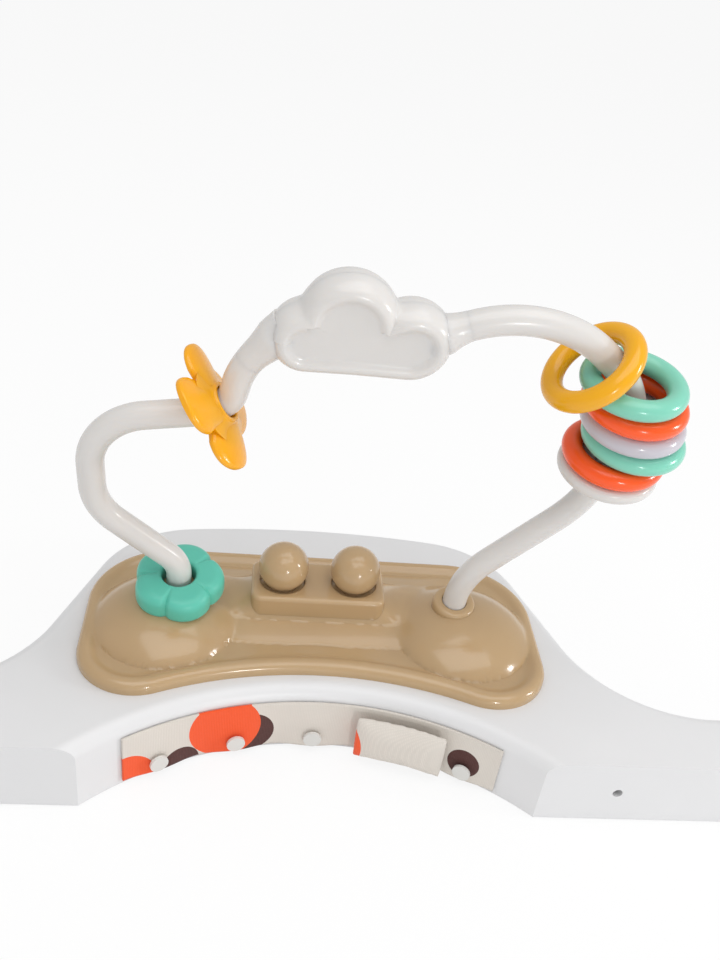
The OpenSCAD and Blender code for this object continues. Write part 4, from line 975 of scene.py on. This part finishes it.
# %% [markdown]
# The flap beside the middle is a stuffed pad. It starts as a thin crowned pillow, is remeshed into even
# cells, and then swells as cloth under pressure, with a cap on how far a point may move. The result is kept
# as plain mesh and smoothed.

# %% Stuff the flap
PAD_STEPS, PAD_CELL, PAD_CAP, PAD_FRAMES = 40, 0.002, 0.0012, 20


def pillow(far):
    """One face of the pad: plain if far, or else raised by 2.2 + 4.6 (1 - (2u - 1)^4) (1 - (2v - 1)^4)."""
    u, v = np.meshgrid(np.linspace(0, 1, PAD_STEPS), np.linspace(0, 1, PAD_STEPS), indexing="ij")
    crown = (1 - (2 * u - 1) ** 4) * (1 - (2 * v - 1) ** 4)
    r = 173.0 - (0.0 if far else 2.2 + 4.6 * crown)
    return round_seat(7.4 + 17.2 * u, r, 33.4 - 29.8 * v)


def pillow_edge(near, far):
    """The narrow band that joins both faces along all four edges."""
    loops = [np.concatenate([q[:, 0], q[-1, 1:], q[-2::-1, -1], q[0, -2::-1]]) for q in (near, far)]
    return np.stack(loops, 1)


def puffed(piece):
    """Remeshes into even cells, swells by cloth pressure, and keeps the moves, each at most PAD_CAP."""
    remesh = piece.modifiers.new("even", "REMESH")
    remesh.mode = "VOXEL"
    remesh.voxel_size = PAD_CELL
    deps = bpy.context.evaluated_depsgraph_get()
    even = bpy.data.meshes.new_from_object(piece.evaluated_get(deps))
    piece.modifiers.clear()
    piece.data = even
    rest = np.empty(len(even.vertices) * 3)
    even.vertices.foreach_get("co", rest)
    air = piece.modifiers.new("air", "CLOTH")
    air.settings.use_pressure = True
    air.settings.uniform_pressure_force = 4
    air.settings.effector_weights.gravity = 0
    air.point_cache.frame_end = PAD_FRAMES
    for k in range(PAD_FRAMES):
        scene.frame_set(k + 1)
    deps = bpy.context.evaluated_depsgraph_get()
    moved = np.empty_like(rest)
    piece.evaluated_get(deps).data.vertices.foreach_get("co", moved)
    piece.modifiers.remove(air)
    scene.frame_set(1)
    move = (moved - rest).reshape(-1, 3)
    size = np.linalg.norm(move, axis=1, keepdims=True)
    move *= np.minimum(1, PAD_CAP / np.maximum(size, 1e-9))
    even.vertices.foreach_set("co", (rest.reshape(-1, 3) + move).ravel())
    even.update()
    return float(size.max())


faces = [pillow(False), pillow(True)]
patches = [grid(q) for q in faces + [pillow_edge(*faces)]]
pad = make_piece("seat_flap_pad", patches, "tray", pad_cloth, "seat_flap")
print("pad swelled by up to", round(puffed(pad) * 1000, 2), "mm before the cap")
pad.data.shade_smooth()
smooth = pad.modifiers.new("soft", "SUBSURF")
smooth.levels = smooth.render_levels = 1

# %% [markdown]
# ## Pieces that stay as they are
# Screws, plugs, the pin, studs, reeds and the carrier plate are already right as solids. They only get a
# finish.

# %% Finish the remaining solids
plain = {zinc: ["console_screws", "carrier_screws", "tube_end_screws", "cloud_screws", "stop_pin"],
         inner_white: ["carrier_plate", "panel_studs"], reed_grey: ["squeaker_reeds", "tube_end_plugs"]}
for finish, names in plain.items():
    for name in names:
        nodes[name].data.materials.clear()
        nodes[name].data.materials.append(finish)
    print(finish.name, "on", ", ".join(names))

# %% [markdown]
# The two squeakers are bellows that the buttons press down. The solids' meshes stay as they are, so each
# gets a welded copy that takes its place.

# %% Put soft copies in the squeakers' place
def soft_squeaker(side):
    """A welded copy of the bellows in the soft finish, in the place of the solid."""
    source = nodes["squeaker_" + side]
    mesh = source.data.copy()
    bm = bmesh.new()
    bm.from_mesh(mesh)
    bmesh.ops.remove_doubles(bm, verts=bm.verts, dist=1e-6)
    bm.to_mesh(mesh)
    bm.free()
    mesh.materials.clear()
    mesh.materials.append(bellows)
    piece = add_piece("bellows_" + side, mesh, "tray", "squeaker_" + side)
    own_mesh(piece)


for side in ("left", "right"):
    soft_squeaker(side)
